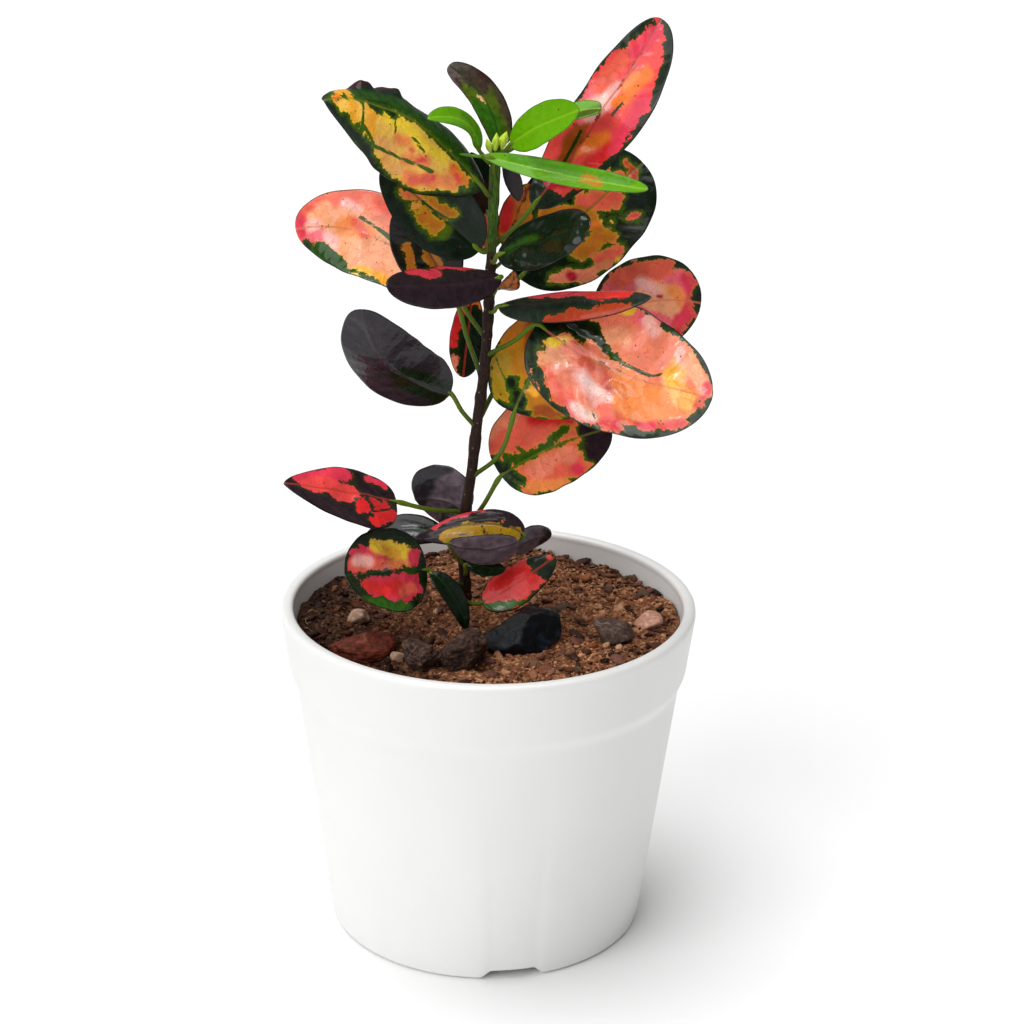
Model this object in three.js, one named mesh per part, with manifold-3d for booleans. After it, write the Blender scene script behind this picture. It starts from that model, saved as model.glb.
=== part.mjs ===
// A croton in a white moulded plastic pot: the pot, its potting mix with stones and bark lying on it,
// one woody stem, and the leaves, each blade in one piece with its own leaf stalk.
// Millimetres, Z up. The origin is on the ground, on the pot's axis, and -Y is the front.

import * as THREE from "three";
import { mergeVertices } from "three/addons/utils/BufferGeometryUtils.js";
import Module from "manifold-3d";

const wasm = await Module();
wasm.setup();

// Driving dimensions of the pot
const RIM_RADIUS = 75;
const POT_HEIGHT = 123.5;
const FOOT_RADIUS = 57.5;
const BAND_HEIGHT = 23.5;
const BAND_FOOT_RADIUS = 72.2;
const BAND_STEP = 2.2;
const BAND_CHAMFER = 4.5;
const LIP_WIDTH = 5.6;
const LIP_ROUNDING = 2.6;
const WALL = 3.4;
const FOOT_WIDTH = 4.5;
const FLOOR_UNDER = 6;
const FLOOR_THICKNESS = 3;
const FOOT_EDGE = 1.2;
const NOTCHES = 3;
const NOTCH_HEIGHT = 3.3;
const NOTCH_WIDTH_AT_GROUND = 23;
const NOTCH_WIDTH_AT_TOP = 16;
const NOTCH_BEARING = 10.7;
const DRAIN_HOLES = 6;
const DRAIN_HOLE_RADIUS = 5;
const DRAIN_CIRCLE_RADIUS = 34;

// Driving dimensions of the plant and its soil. Two faceted rounds need SOIL_CLEARANCE between them.
const CLEARANCE = 0.3;
const SOIL_CLEARANCE = 0.6;
const SOIL_TOP = 116.5;
const SOIL_SWELL = 0.9;
const SOIL_RIPPLE = 0.6;
const STONE_ROUGHNESS = 0.28;
const STEM_RADIUS = 2.1;
const STEM_FOOT = [-8, 11.5, 62];
const KNOT_SWELL = 0.22;
const KNOT_LENGTH = 2.4;
const LEAF_THICKNESS = 0.7;
const STALK_RADIUS = 0.85;

// How many flat sides and steps the round and curved forms have
const POT_SIDES = 48;
const DRAIN_SIDES = 10;
const SOIL_SIDES = 36;
const SOIL_RINGS = 6;
const STEM_SIDES = 8;
const STEM_STEPS = 34;
const STALK_SIDES = 5;
const STALK_STEP = 6;

// Levels and radii of the pot that follow from its driving dimensions
const BAND_FOOT = POT_HEIGHT - BAND_HEIGHT;
const BODY_TOP = BAND_FOOT - BAND_CHAMFER;
const BODY_TOP_RADIUS = BAND_FOOT_RADIUS - BAND_STEP;
const BODY_LEAN = (BODY_TOP_RADIUS - FOOT_RADIUS) / BODY_TOP;
const LIP_INNER_RADIUS = RIM_RADIUS - LIP_WIDTH;
const LIP_FOOT = POT_HEIGHT - LIP_ROUNDING;
const FLOOR_TOP = FLOOR_UNDER + FLOOR_THICKNESS;

const degrees = THREE.MathUtils.degToRad;
const vector = (place) => new THREE.Vector3(...place);

// The same draws on every run
function seededDraws(seed) {
  let state = seed;
  return () => {
    state = (state * 1664525 + 1013904223) % 4294967296;
    return state / 4294967296;
  };
}

// A closed three.js geometry as a solid that can be joined and cut
function solidOf(geometry) {
  const bare = geometry.clone();
  bare.deleteAttribute("normal");
  bare.deleteAttribute("uv");
  const merged = mergeVertices(bare, 1e-4);
  const corners = merged.index.array;
  const kept = [];
  for (let i = 0; i < corners.length; i += 3) {
    const [a, b, c] = corners.slice(i, i + 3);
    if (a !== b && b !== c && c !== a) kept.push(a, b, c);
  }
  return new wasm.Manifold(new wasm.Mesh({
    numProp: 3,
    vertProperties: new Float32Array(merged.attributes.position.array),
    triVerts: new Uint32Array(kept),
  }));
}

function meshOf(name, solid, finish) {
  const { vertProperties, triVerts } = solid.getMesh();
  const geometry = new THREE.BufferGeometry();
  geometry.setAttribute("position", new THREE.BufferAttribute(vertProperties, 3));
  geometry.setIndex(new THREE.BufferAttribute(triVerts, 1));
  geometry.computeVertexNormals();
  const mesh = new THREE.Mesh(geometry, finish);
  mesh.name = name;
  return mesh;
}

function finishOf(color, roughness) {
  return new THREE.MeshStandardMaterial({ color, roughness, metalness: 0 });
}

const finishes = {
  pot: finishOf("#f2f2f0", 0.45),
  mix: finishOf("#6b4733", 0.95),
  bark: finishOf("#4a2f26", 0.85),
  charcoal: finishOf("#17181a", 0.6),
  redBark: finishOf("#6e3a31", 0.85),
  darkBark: finishOf("#3a2924", 0.9),
  greyStone: finishOf("#5d4a42", 0.8),
  pinkStone: finishOf("#b07a68", 0.8),
  paleStone: finishOf("#a98a76", 0.8),
  flame: finishOf("#dd5a45", 0.4),
  coral: finishOf("#ee7d62", 0.35),
  amber: finishOf("#d9973a", 0.4),
  lime: finishOf("#78b515", 0.35),
  forest: finishOf("#24381f", 0.35),
  plum: finishOf("#41282e", 0.4),
  slate: finishOf("#38333a", 0.45),
};

// The radius of the pot's inner face at a height: it leans out with the body, then flares to the lip
function innerRadiusAt(height) {
  const body = FOOT_RADIUS - WALL + BODY_LEAN * Math.min(height, BODY_TOP);
  const flare = (LIP_INNER_RADIUS - BODY_TOP_RADIUS + WALL) / (LIP_FOOT - BODY_TOP);
  return body + flare * Math.max(height - BODY_TOP, 0);
}

// The pot: a lathed wall with a band under the lip, a raised floor with drainage holes, and a foot
// ring with notches that let water out
function potSolid() {
  const wall = new THREE.Path();
  wall.moveTo(0, FLOOR_UNDER);
  wall.lineTo(FOOT_RADIUS - FOOT_WIDTH, FLOOR_UNDER);
  wall.lineTo(FOOT_RADIUS - FOOT_WIDTH, 0);
  wall.lineTo(FOOT_RADIUS - FOOT_EDGE, 0);
  wall.lineTo(FOOT_RADIUS + BODY_LEAN * FOOT_EDGE, FOOT_EDGE);
  wall.lineTo(BODY_TOP_RADIUS, BODY_TOP);
  wall.lineTo(BAND_FOOT_RADIUS, BAND_FOOT);
  wall.lineTo(RIM_RADIUS, LIP_FOOT);
  wall.quadraticCurveTo(RIM_RADIUS, POT_HEIGHT, RIM_RADIUS - LIP_ROUNDING, POT_HEIGHT);
  wall.quadraticCurveTo(LIP_INNER_RADIUS, POT_HEIGHT, LIP_INNER_RADIUS, LIP_FOOT);
  wall.lineTo(innerRadiusAt(BODY_TOP), BODY_TOP);
  wall.lineTo(innerRadiusAt(FLOOR_TOP), FLOOR_TOP);
  wall.lineTo(0, FLOOR_TOP);
  const lathe = new THREE.LatheGeometry(wall.getPoints(3), POT_SIDES);
  let pot = solidOf(lathe.rotateX(Math.PI / 2));

  for (let i = 0; i < DRAIN_HOLES; i += 1) {
    const bearing = (i / DRAIN_HOLES) * 2 * Math.PI;
    const drill = new THREE.CylinderGeometry(
      DRAIN_HOLE_RADIUS, DRAIN_HOLE_RADIUS, 4 * FLOOR_THICKNESS, DRAIN_SIDES,
    );
    drill.rotateX(Math.PI / 2);
    drill.translate(
      DRAIN_CIRCLE_RADIUS * Math.cos(bearing),
      DRAIN_CIRCLE_RADIUS * Math.sin(bearing),
      FLOOR_UNDER + FLOOR_THICKNESS / 2,
    );
    pot = pot.subtract(solidOf(drill));
  }

  const notchDepth = 4 * FOOT_WIDTH;
  for (let i = 0; i < NOTCHES; i += 1) {
    const section = new THREE.Shape();
    section.moveTo(-NOTCH_WIDTH_AT_GROUND / 2, -NOTCH_HEIGHT);
    section.lineTo(NOTCH_WIDTH_AT_GROUND / 2, -NOTCH_HEIGHT);
    section.lineTo(NOTCH_WIDTH_AT_GROUND / 2, 0);
    section.lineTo(NOTCH_WIDTH_AT_TOP / 2, NOTCH_HEIGHT);
    section.lineTo(-NOTCH_WIDTH_AT_TOP / 2, NOTCH_HEIGHT);
    section.lineTo(-NOTCH_WIDTH_AT_GROUND / 2, 0);
    const notch = new THREE.ExtrudeGeometry(section, { depth: notchDepth, bevelEnabled: false });
    notch.rotateX(Math.PI / 2);
    notch.translate(0, notchDepth / 2 - FOOT_RADIUS, 0);
    notch.rotateZ(degrees(NOTCH_BEARING) + (i / NOTCHES) * 2 * Math.PI);
    pot = pot.subtract(solidOf(notch));
  }
  return pot;
}

// The stem's axis from its buried end to its apex
const stemRoute = new THREE.CatmullRomCurve3([
  vector(STEM_FOOT),
  vector([-8.2, 10.5, 100]),
  vector([-8.5, 9, 122]),
  vector([-9.3, 4, 146]),
  vector([-8, 1, 162]),
  vector([-6.3, 0, 174]),
  vector([-4.5, 0, 192]),
  vector([-2.2, 0, 212]),
  vector([-0.8, 0, 236]),
  vector([0.2, 0, 262]),
  vector([0.8, 0, 282]),
  vector([1.2, 0, 291]),
]);

// The point of the stem's axis at a height, found by halving the way between its ends
const HALVINGS = 30;

function stemAt(height) {
  let low = 0;
  let high = 1;
  for (let i = 0; i < HALVINGS; i += 1) {
    const middle = (low + high) / 2;
    if (stemRoute.getPoint(middle).z < height) low = middle;
    else high = middle;
  }
  return stemRoute.getPoint(low);
}

// A closed tube along a curve, with a radius for each point of its way; overrun lengthens both ends
function tubeSolid(route, radiusAt, steps, sides, overrun = 0) {
  const frames = route.computeFrenetFrames(steps);
  const places = [];
  const index = [];
  for (let i = 0; i <= steps; i += 1) {
    const centre = route.getPointAt(i / steps);
    const past = i === 0 ? -overrun : i === steps ? overrun : 0;
    centre.addScaledVector(frames.tangents[i], past);
    for (let j = 0; j < sides; j += 1) {
      const turn = (j / sides) * 2 * Math.PI;
      const radius = radiusAt(i / steps, centre);
      places.push(centre.clone()
        .addScaledVector(frames.normals[i], radius * Math.cos(turn))
        .addScaledVector(frames.binormals[i], radius * Math.sin(turn)));
    }
  }
  for (let i = 0; i < steps; i += 1) {
    for (let j = 0; j < sides; j += 1) {
      const [a, b] = [i * sides + j, i * sides + (j + 1) % sides];
      index.push(a, b, a + sides, b, b + sides, a + sides);
    }
  }
  for (let j = 1; j < sides - 1; j += 1) {
    const end = steps * sides;
    index.push(0, j + 1, j, end, end + j, end + j + 1);
  }
  return solidOf(new THREE.BufferGeometry().setFromPoints(places).setIndex(index));
}

// The apex buds: lean is in degrees away from upright, towards +X
const buds = [
  { at: [-1.6, -2.2, 292], size: [1.7, 1.7, 4.2], lean: -16 },
  { at: [1.2, -1, 294], size: [2, 2, 5.2], lean: 4 },
  { at: [3.4, 0.6, 292], size: [1.6, 1.6, 3.8], lean: 20 },
];

// The stem swells a little at each knot, where a stalk leaves it. grow widens it all round.
function stemSolid(grow) {
  const knots = leaves.map((leaf) => leaf.from);
  const girthAt = (way, centre) => {
    const nearest = Math.min(...knots.map((height) => Math.abs(height - centre.z)));
    return STEM_RADIUS * (1 + KNOT_SWELL * Math.exp(-((nearest / KNOT_LENGTH) ** 2))) + grow;
  };
  let stem = tubeSolid(stemRoute, girthAt, STEM_STEPS, STEM_SIDES, grow);
  for (const bud of buds) {
    const shape = new THREE.SphereGeometry(1, 6, 5).rotateX(Math.PI / 2);
    shape.scale(bud.size[0] + grow, bud.size[1] + grow, bud.size[2] + grow);
    shape.rotateY(degrees(bud.lean));
    shape.translate(...bud.at);
    stem = stem.add(solidOf(shape));
  }
  return stem;
}

// Every leaf by hand: base, mid and tip are points of its midrib, faces is where the upper side looks,
// cup turns both halves up (or down below 0) in degrees, neck and nose shape the outline at base and
// tip (0.5 is round, 1 is pointed), twist turns the blade from base to tip, lop widens its left half,
// wave and waves ruffle the edge, and from is the height where its stalk leaves the stem.
const leaves = [
  {
    name: "crown_left", finish: "amber",
    base: [-3, -5, 277], mid: [-30, -18, 304.5], tip: [-54.5, -34, 312.5],
    width: 39.5, faces: [-0.1, -0.62, 0.78], cup: -68, neck: 0.5, nose: 0.62, lop: 0.12, wave: 1, waves: 4,
    from: 273,
  },
  {
    name: "crown_spear", finish: "forest",
    base: [1.5, 3, 290], mid: [-2.5, 9, 303.5], tip: [-15.5, 16, 314.5],
    width: 14, faces: [0.5, -0.8, 0.1], cup: 25, neck: 0.5, nose: 0.9, from: 286,
  },
  {
    name: "young_left", finish: "lime",
    base: [-4.5, -3, 289.5], mid: [-10, -10, 301], tip: [-21.5, -18, 303.5],
    width: 10, faces: [0, -0.6, 0.8], cup: 15, neck: 0.7, nose: 0.6, from: 286,
  },
  {
    name: "young_right", finish: "lime",
    base: [6, -4, 292], mid: [16.5, -12, 300.5], tip: [28.5, -20, 307.5],
    width: 15, faces: [0.1, -0.8, 0.6], cup: 15, neck: 0.55, nose: 0.55, from: 288,
  },
  {
    name: "young_far", finish: "lime",
    base: [9, 2, 291], mid: [23.5, 4, 300], tip: [36.5, 3, 303],
    width: 8, faces: [0, -0.4, 0.9], cup: 10, neck: 0.6, nose: 0.6, from: 288,
  },
  {
    name: "young_strap", finish: "lime",
    base: [3, -6, 289], mid: [26.5, -20, 285], tip: [51, -36, 285],
    width: 10, faces: [0.2, -0.7, 0.7], cup: 25, neck: 0.7, nose: 0.7, from: 284,
  },
  {
    name: "young_chip", finish: "lime",
    base: [0, -5, 288], mid: [-5, -9, 289], tip: [-11, -12, 290.5],
    width: 5, faces: [0, 0, 1], cup: 10, neck: 0.7, nose: 0.7, from: 279,
  },
  {
    name: "crown_flame", finish: "flame",
    base: [14, 5, 268.5], mid: [36.5, 14, 298], tip: [57, 24, 330],
    width: 27, faces: [-0.35, -0.85, 0.35], cup: 20, neck: 0.5, nose: 0.7, lop: -0.2, wave: 0.7, waves: 3,
    twist: 15, from: 255,
  },
  {
    name: "right_round", finish: "amber",
    base: [9.5, 10, 241.5], mid: [31.5, 24, 260.5], tip: [53, 40, 276],
    width: 43, faces: [-0.15, -0.93, 0.3], cup: 15, neck: 0.45, nose: 0.5, wave: 0.8, waves: 2.5, from: 240,
  },
  {
    name: "right_gloss", finish: "forest",
    base: [2, -8, 254.5], mid: [17.5, -20, 264], tip: [32.5, -32, 271.5],
    width: 21, faces: [0.1, -0.75, 0.65], cup: -15, neck: 0.5, nose: 0.5, from: 250,
  },
  {
    name: "left_pink", finish: "coral",
    base: [-13, 12, 233.5], mid: [-41, 24, 251.5], tip: [-70.5, 36, 251],
    width: 31, faces: [0.1, -0.95, 0.3], cup: 12, neck: 0.5, nose: 0.5, from: 207,
  },
  {
    name: "left_dusk", finish: "forest",
    base: [-4, -2, 254.5], mid: [-20.5, -4, 269.5], tip: [-37.5, -6, 284],
    width: 26, faces: [-0.2, -0.8, 0.5], cup: 15, neck: 0.5, nose: 0.6, from: 255,
  },
  {
    name: "left_tobacco", finish: "plum",
    base: [-13, 6, 238], mid: [-22.5, 4, 253.5], tip: [-30, 3, 270.5],
    width: 23, faces: [0.1, -0.95, 0.2], cup: 10, neck: 0.6, nose: 0.55, from: 222,
  },
  {
    name: "left_plum", finish: "plum",
    base: [3.5, -8, 247], mid: [-14, -20, 247.5], tip: [-34.5, -34, 250.5],
    width: 17, faces: [0, -0.75, 0.65], cup: -25, neck: 0.6, nose: 0.5, from: 246,
  },
  {
    name: "left_slate", finish: "slate",
    base: [-14, -4, 203.5], mid: [-34, -14, 215.5], tip: [-42.5, -22, 236.5],
    width: 27, faces: [0.2, 0.9, 0.2], cup: 20, neck: 0.4, nose: 0.5, from: 189.5,
  },
  {
    name: "back_red", finish: "flame",
    base: [-6.5, 14, 236], mid: [-8.5, 18, 217], tip: [-10, 17, 202.5],
    width: 13, faces: [-0.3, -0.95, 0.1], cup: 10, neck: 0.6, nose: 0.55, from: 238,
  },
  {
    name: "right_boat", finish: "plum",
    base: [2.5, -8, 236.5], mid: [28.5, -22, 243], tip: [53.5, -36, 248.5],
    width: 14, faces: [0, -0.35, 0.94], cup: 20, neck: 0.55, nose: 0.7, from: 232,
  },
  {
    name: "right_coral", finish: "coral",
    base: [38, 20, 223], mid: [56.5, 30, 227.5], tip: [74.5, 38, 225],
    width: 32, faces: [0.2, -0.9, 0.3], cup: 10, neck: 0.5, nose: 0.5, knee: [-8, 4, 4], from: 192,
  },
  {
    name: "front_great", finish: "coral",
    base: [16, -12, 231.5], mid: [43.5, -28, 220], tip: [74.5, -42, 216],
    width: 45, faces: [-0.1, -0.85, 0.5], cup: 14, neck: 0.45, nose: 0.5, wave: 0.8, waves: 2, from: 216,
  },
  {
    name: "right_amber", finish: "amber",
    base: [8.5, 0, 195.5], mid: [19, 3, 215.5], tip: [38, 8, 232.5],
    width: 40, faces: [-0.1, -0.95, 0.2], cup: 12, neck: 0.4, nose: 0.5, lop: -0.2, knee: [2, -4, -3],
    from: 170.5,
  },
  {
    name: "low_right", finish: "amber",
    base: [5.5, 4, 169], mid: [21.5, 10, 178.5], tip: [43.5, 18, 184],
    width: 33, faces: [0, -0.9, 0.4], cup: 12, neck: 0.4, nose: 0.5, lop: 0.15, from: 148.5,
  },
  {
    name: "low_left", finish: "flame",
    base: [-33.5, -6, 164], mid: [-51.5, -14, 170], tip: [-71, -24, 176.5],
    width: 26, faces: [0, -0.45, 0.9], cup: 8, neck: 0.45, nose: 0.7, lop: 0.2, from: 157,
  },
  {
    name: "back_slate", finish: "slate",
    base: [-6.5, 16, 151.5], mid: [-16, 26, 153.5], tip: [-26.5, 38, 152.5],
    width: 22, faces: [0, 1, 0.2], cup: 12, neck: 0.5, nose: 0.5, from: 150,
  },
  {
    name: "low_black", finish: "slate",
    base: [-15.5, 8, 144.5], mid: [-30.5, 10, 147], tip: [-46, 10, 141.5],
    width: 14, faces: [0, -0.55, 0.8], cup: -12, neck: 0.6, nose: 0.6, from: 143,
  },
  {
    name: "low_round", finish: "flame",
    base: [-22, -11, 139.5], mid: [-35, -22, 143.5], tip: [-49.5, -34, 146.5],
    width: 31, faces: [-0.1, -0.85, 0.5], cup: 15, neck: 0.5, nose: 0.5, from: 122.5,
  },
  {
    name: "low_drop", finish: "forest",
    base: [-20.5, -17, 141], mid: [-12.5, -21, 134], tip: [-7.5, -22, 121.5],
    width: 9, faces: [0.4, -0.6, 0.7], cup: 15, neck: 0.5, nose: 0.55, from: 126,
  },
  {
    name: "low_boat", finish: "plum",
    base: [9.5, -6, 149], mid: [-4.5, -6, 156], tip: [-24.5, -5, 148],
    width: 16, faces: [0, 0.35, 0.94], cup: 45, neck: 0.5, nose: 0.75, from: 138,
  },
  {
    name: "low_plum", finish: "plum",
    base: [-11.5, -13, 150], mid: [-0.5, -16, 150], tip: [11, -15, 151],
    width: 15, faces: [0, 0.85, 0.4], cup: 15, neck: 0.6, nose: 0.5, from: 134,
  },
  {
    name: "low_mauve", finish: "plum",
    base: [8.5, 6, 141], mid: [15, 14, 140], tip: [22, 22, 137.5],
    width: 11, faces: [0, 0.8, 0.5], cup: 12, neck: 0.6, nose: 0.55, from: 141,
  },
  {
    name: "low_flame", finish: "flame",
    base: [-2.5, -6, 125], mid: [9.5, -5, 133], tip: [23.5, 0, 140.5],
    width: 17, faces: [0, -0.7, 0.7], cup: 15, neck: 0.5, nose: 0.6, from: 119.5,
  },
  {
    name: "low_green", finish: "forest",
    base: [-8, -6, 140], mid: [-1.5, -8, 139.5], tip: [6, -8, 139],
    width: 8, faces: [0, -0.6, 0.8], cup: 12, neck: 0.6, nose: 0.6, from: 130,
  },
  {
    name: "back_amber", finish: "flame",
    base: [6, 10, 251.5], mid: [8, 13, 262], tip: [13, 15, 274],
    width: 12, faces: [0, -0.9, 0.3], cup: 12, neck: 0.6, nose: 0.6, from: 247,
  },
  {
    name: "back_black", finish: "forest",
    base: [4, 4, 284.5], mid: [7, 7, 277], tip: [9, 8, 269.5],
    width: 6, faces: [0, 0.9, 0.3], cup: 12, neck: 0.6, nose: 0.6, from: 286,
  },
  {
    name: "back_pink", finish: "coral",
    base: [-1, 14, 249.5], mid: [-4.5, 18, 258], tip: [-7.5, 20, 268],
    width: 15, faces: [0, -0.9, 0.3], cup: 12, neck: 0.6, nose: 0.6, from: 243,
  },
  {
    name: "core_orange", finish: "amber",
    base: [2, -2, 241.5], mid: [6.5, -8, 244], tip: [8, -12, 250.5],
    width: 6, faces: [0.5, 0.2, 0.8], cup: 12, neck: 0.6, nose: 0.6, from: 238,
  },
  {
    name: "core_dark", finish: "forest",
    base: [-1.5, 8, 265], mid: [-5.5, 11, 275.5], tip: [-7.5, 12, 285.5],
    width: 13, faces: [0, -0.9, 0.3], cup: 12, neck: 0.6, nose: 0.7, from: 262,
  },
];

// The midrib as a curve through base, mid and tip
function ribOf(leaf) {
  const [base, mid, tip] = [leaf.base, leaf.mid, leaf.tip].map(vector);
  const control = mid.clone().multiplyScalar(2);
  control.addScaledVector(base, -0.5).addScaledVector(tip, -0.5);
  return new THREE.QuadraticBezierCurve3(base, control, tip);
}

// The place on the blade's middle layer: u runs from base to tip, v from edge to edge
function bladePoint(leaf, rib, u, v) {
  const along = rib.getTangent(u);
  const up = vector(leaf.faces);
  up.addScaledVector(along, -up.dot(along)).normalize();
  up.applyAxisAngle(along, degrees(leaf.twist ?? 0) * (u - 0.5));
  const across = new THREE.Vector3().crossVectors(up, along);

  const widest = leaf.neck / (leaf.neck + leaf.nose);
  const most = widest ** leaf.neck * (1 - widest) ** leaf.nose;
  const taper = (u ** leaf.neck * (1 - u) ** leaf.nose) / most;
  const half = (leaf.width / 2) * taper * (1 + (leaf.lop ?? 0) * Math.sign(v));
  const turn = degrees(leaf.cup || 1);
  const ruffle = (leaf.wave ?? 0) * Math.sin((leaf.waves ?? 3) * 2 * Math.PI * u + v) * v * v * taper;
  return rib.getPoint(u)
    .addScaledVector(across, (half * Math.sin(turn * v)) / turn)
    .addScaledVector(up, (half * (1 - Math.cos(turn * v))) / turn + ruffle);
}

// The blade's upward normal, from two small steps over it, taken a little inside its pointed ends
const NUDGE = 0.01;
const END_MARGIN = 0.04;

function bladeNormal(leaf, rib, u, v) {
  const inside = THREE.MathUtils.clamp(u, END_MARGIN, 1 - END_MARGIN);
  const lengthwise = bladePoint(leaf, rib, inside + NUDGE, v);
  lengthwise.sub(bladePoint(leaf, rib, inside - NUDGE, v));
  const crosswise = bladePoint(leaf, rib, inside, v + NUDGE);
  crosswise.sub(bladePoint(leaf, rib, inside, v - NUDGE));
  return lengthwise.cross(crosswise).normalize();
}

// Long blades get more rows of faces, and wide ones more columns
const LONG_BLADE = 45;
const WIDE_BLADE = 26;
const NARROW_BLADE = 12;

function columnsOf(leaf) {
  if (leaf.width > WIDE_BLADE) return 6;
  return leaf.width > NARROW_BLADE ? 4 : 2;
}

// The blade: an upper and a lower sheet of the same triangles, and the edge between them
function bladeSolid(leaf) {
  const rib = ribOf(leaf);
  const rows = rib.getLength() > LONG_BLADE ? 11 : 8;
  const columns = columnsOf(leaf);
  const places = [];
  const rim = [];
  const addPlace = (u, v) => {
    const middle = bladePoint(leaf, rib, u, v);
    const lift = bladeNormal(leaf, rib, u, v).multiplyScalar(LEAF_THICKNESS / 2);
    places.push(middle.clone().add(lift), middle.clone().sub(lift));
    return places.length / 2 - 1;
  };
  const first = addPlace(0, 0);
  const grid = [];
  for (let i = 1; i < rows; i += 1) {
    const u = (1 - Math.cos((i / rows) * Math.PI)) / 2;
    grid.push(Array.from({ length: columns + 1 }, (_, j) => addPlace(u, (2 * j) / columns - 1)));
  }
  const last = addPlace(1, 0);

  const sheet = [];
  for (let j = 0; j < columns; j += 1) {
    sheet.push([first, grid[0][j], grid[0][j + 1]]);
    for (let i = 0; i < rows - 2; i += 1) {
      const [a, b, c, d] = [grid[i][j], grid[i + 1][j], grid[i + 1][j + 1], grid[i][j + 1]];
      if ((j < columns / 2) === (i < rows / 2)) sheet.push([a, b, d], [b, c, d]);
      else sheet.push([a, b, c], [a, c, d]);
    }
    sheet.push([grid[rows - 2][j + 1], grid[rows - 2][j], last]);
  }
  rim.push(first, ...grid.map((row) => row[0]), last, ...grid.map((row) => row[columns]).reverse());

  const upper = (place) => 2 * place;
  const lower = (place) => 2 * place + 1;
  const index = [];
  for (const [a, b, c] of sheet) {
    index.push(upper(a), upper(b), upper(c), lower(c), lower(b), lower(a));
  }
  rim.forEach((here, i) => {
    const next = rim[(i + 1) % rim.length];
    index.push(upper(here), lower(here), upper(next), lower(here), lower(next), upper(next));
  });
  const geometry = new THREE.BufferGeometry().setFromPoints(places);
  geometry.setIndex(index);
  return solidOf(geometry);
}

// The leaf stalk: from the stem's axis, over a knee, to a little way into the blade along its midrib.
// A leaf's own knee is added to the point on the straight way, in place of a slight sag.
const KNEE_WAY = 0.55;
const KNEE_SAG = [0, 0, -1];
const STALK_REACH = 0.08;

function stalkSolid(leaf) {
  const rib = ribOf(leaf);
  const root = stemAt(leaf.from);
  const knee = root.clone().lerp(rib.getPoint(0), KNEE_WAY);
  knee.add(vector(leaf.knee ?? KNEE_SAG));
  const route = new THREE.CatmullRomCurve3([root, knee, rib.getPoint(0), rib.getPoint(STALK_REACH)]);
  const steps = Math.max(3, Math.round(route.getLength() / STALK_STEP));
  return tubeSolid(route, () => STALK_RADIUS, steps, STALK_SIDES);
}

// Each leaf with its stalk is cut back from the stem, as is the soil, to stand clear of it
const stemSleeve = stemSolid(CLEARANCE);

function leafSolid(leaf) {
  return bladeSolid(leaf).add(stalkSolid(leaf)).subtract(stemSleeve);
}

// Loose things on the soil: at and size are their centre and half sizes, turn their bearing in degrees
const looseThings = [
  {
    name: "charcoal_stone", finish: "charcoal",
    at: [11.5, -18, 119], size: [13, 9, 6], turn: 12, seed: 3,
  },
  {
    name: "red_bark_chip", finish: "redBark",
    at: [-43, -31, 118], size: [11, 8, 3.5], turn: -10, seed: 5,
  },
  {
    name: "dark_bark_left", finish: "darkBark",
    at: [-22.5, -43, 118], size: [5, 6, 3.5], turn: 50, seed: 8,
  },
  {
    name: "dark_bark_right", finish: "darkBark",
    at: [-7.5, -46.5, 118.5], size: [7.5, 6, 4], turn: -20, seed: 9,
  },
  {
    name: "grey_stone", finish: "greyStone",
    at: [45, -16, 118], size: [7, 5.5, 3.5], turn: -30, seed: 12,
  },
  {
    name: "pink_pebble", finish: "pinkStone",
    at: [58, -5, 117.5], size: [4, 5, 3], turn: 0, seed: 14,
  },
  {
    name: "pale_stone", finish: "paleStone",
    at: [-47, -5, 117.5], size: [3.5, 3, 2.5], turn: 30, seed: 17,
  },
  {
    name: "tan_pebble", finish: "paleStone",
    at: [-30.5, -38, 117.5], size: [2.5, 2.2, 1.8], turn: 0, seed: 19,
  },
];

function looseSolid(thing, grow) {
  const draw = seededDraws(thing.seed);
  const ball = new THREE.IcosahedronGeometry(1, 1).deleteAttribute("normal").deleteAttribute("uv");
  const shape = mergeVertices(ball);
  const place = shape.attributes.position;
  const [long, wide, high] = thing.size.map((half) => half + grow);
  for (let i = 0; i < place.count; i += 1) {
    const swell = 1 + STONE_ROUGHNESS * (draw() - 0.5);
    place.setXYZ(
      i,
      place.getX(i) * swell * long,
      place.getY(i) * swell * wide,
      place.getZ(i) * swell * high,
    );
  }
  shape.rotateZ(degrees(thing.turn));
  shape.translate(...thing.at);
  return solidOf(shape);
}

// The potting mix: it fills the pot to a few millimetres below the lip, with an uneven top
function soilRelief(x, y) {
  return SOIL_SWELL * Math.sin(x / 9 + 1) * Math.cos(y / 11) + SOIL_RIPPLE * Math.sin((x + y) / 5.5);
}

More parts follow.
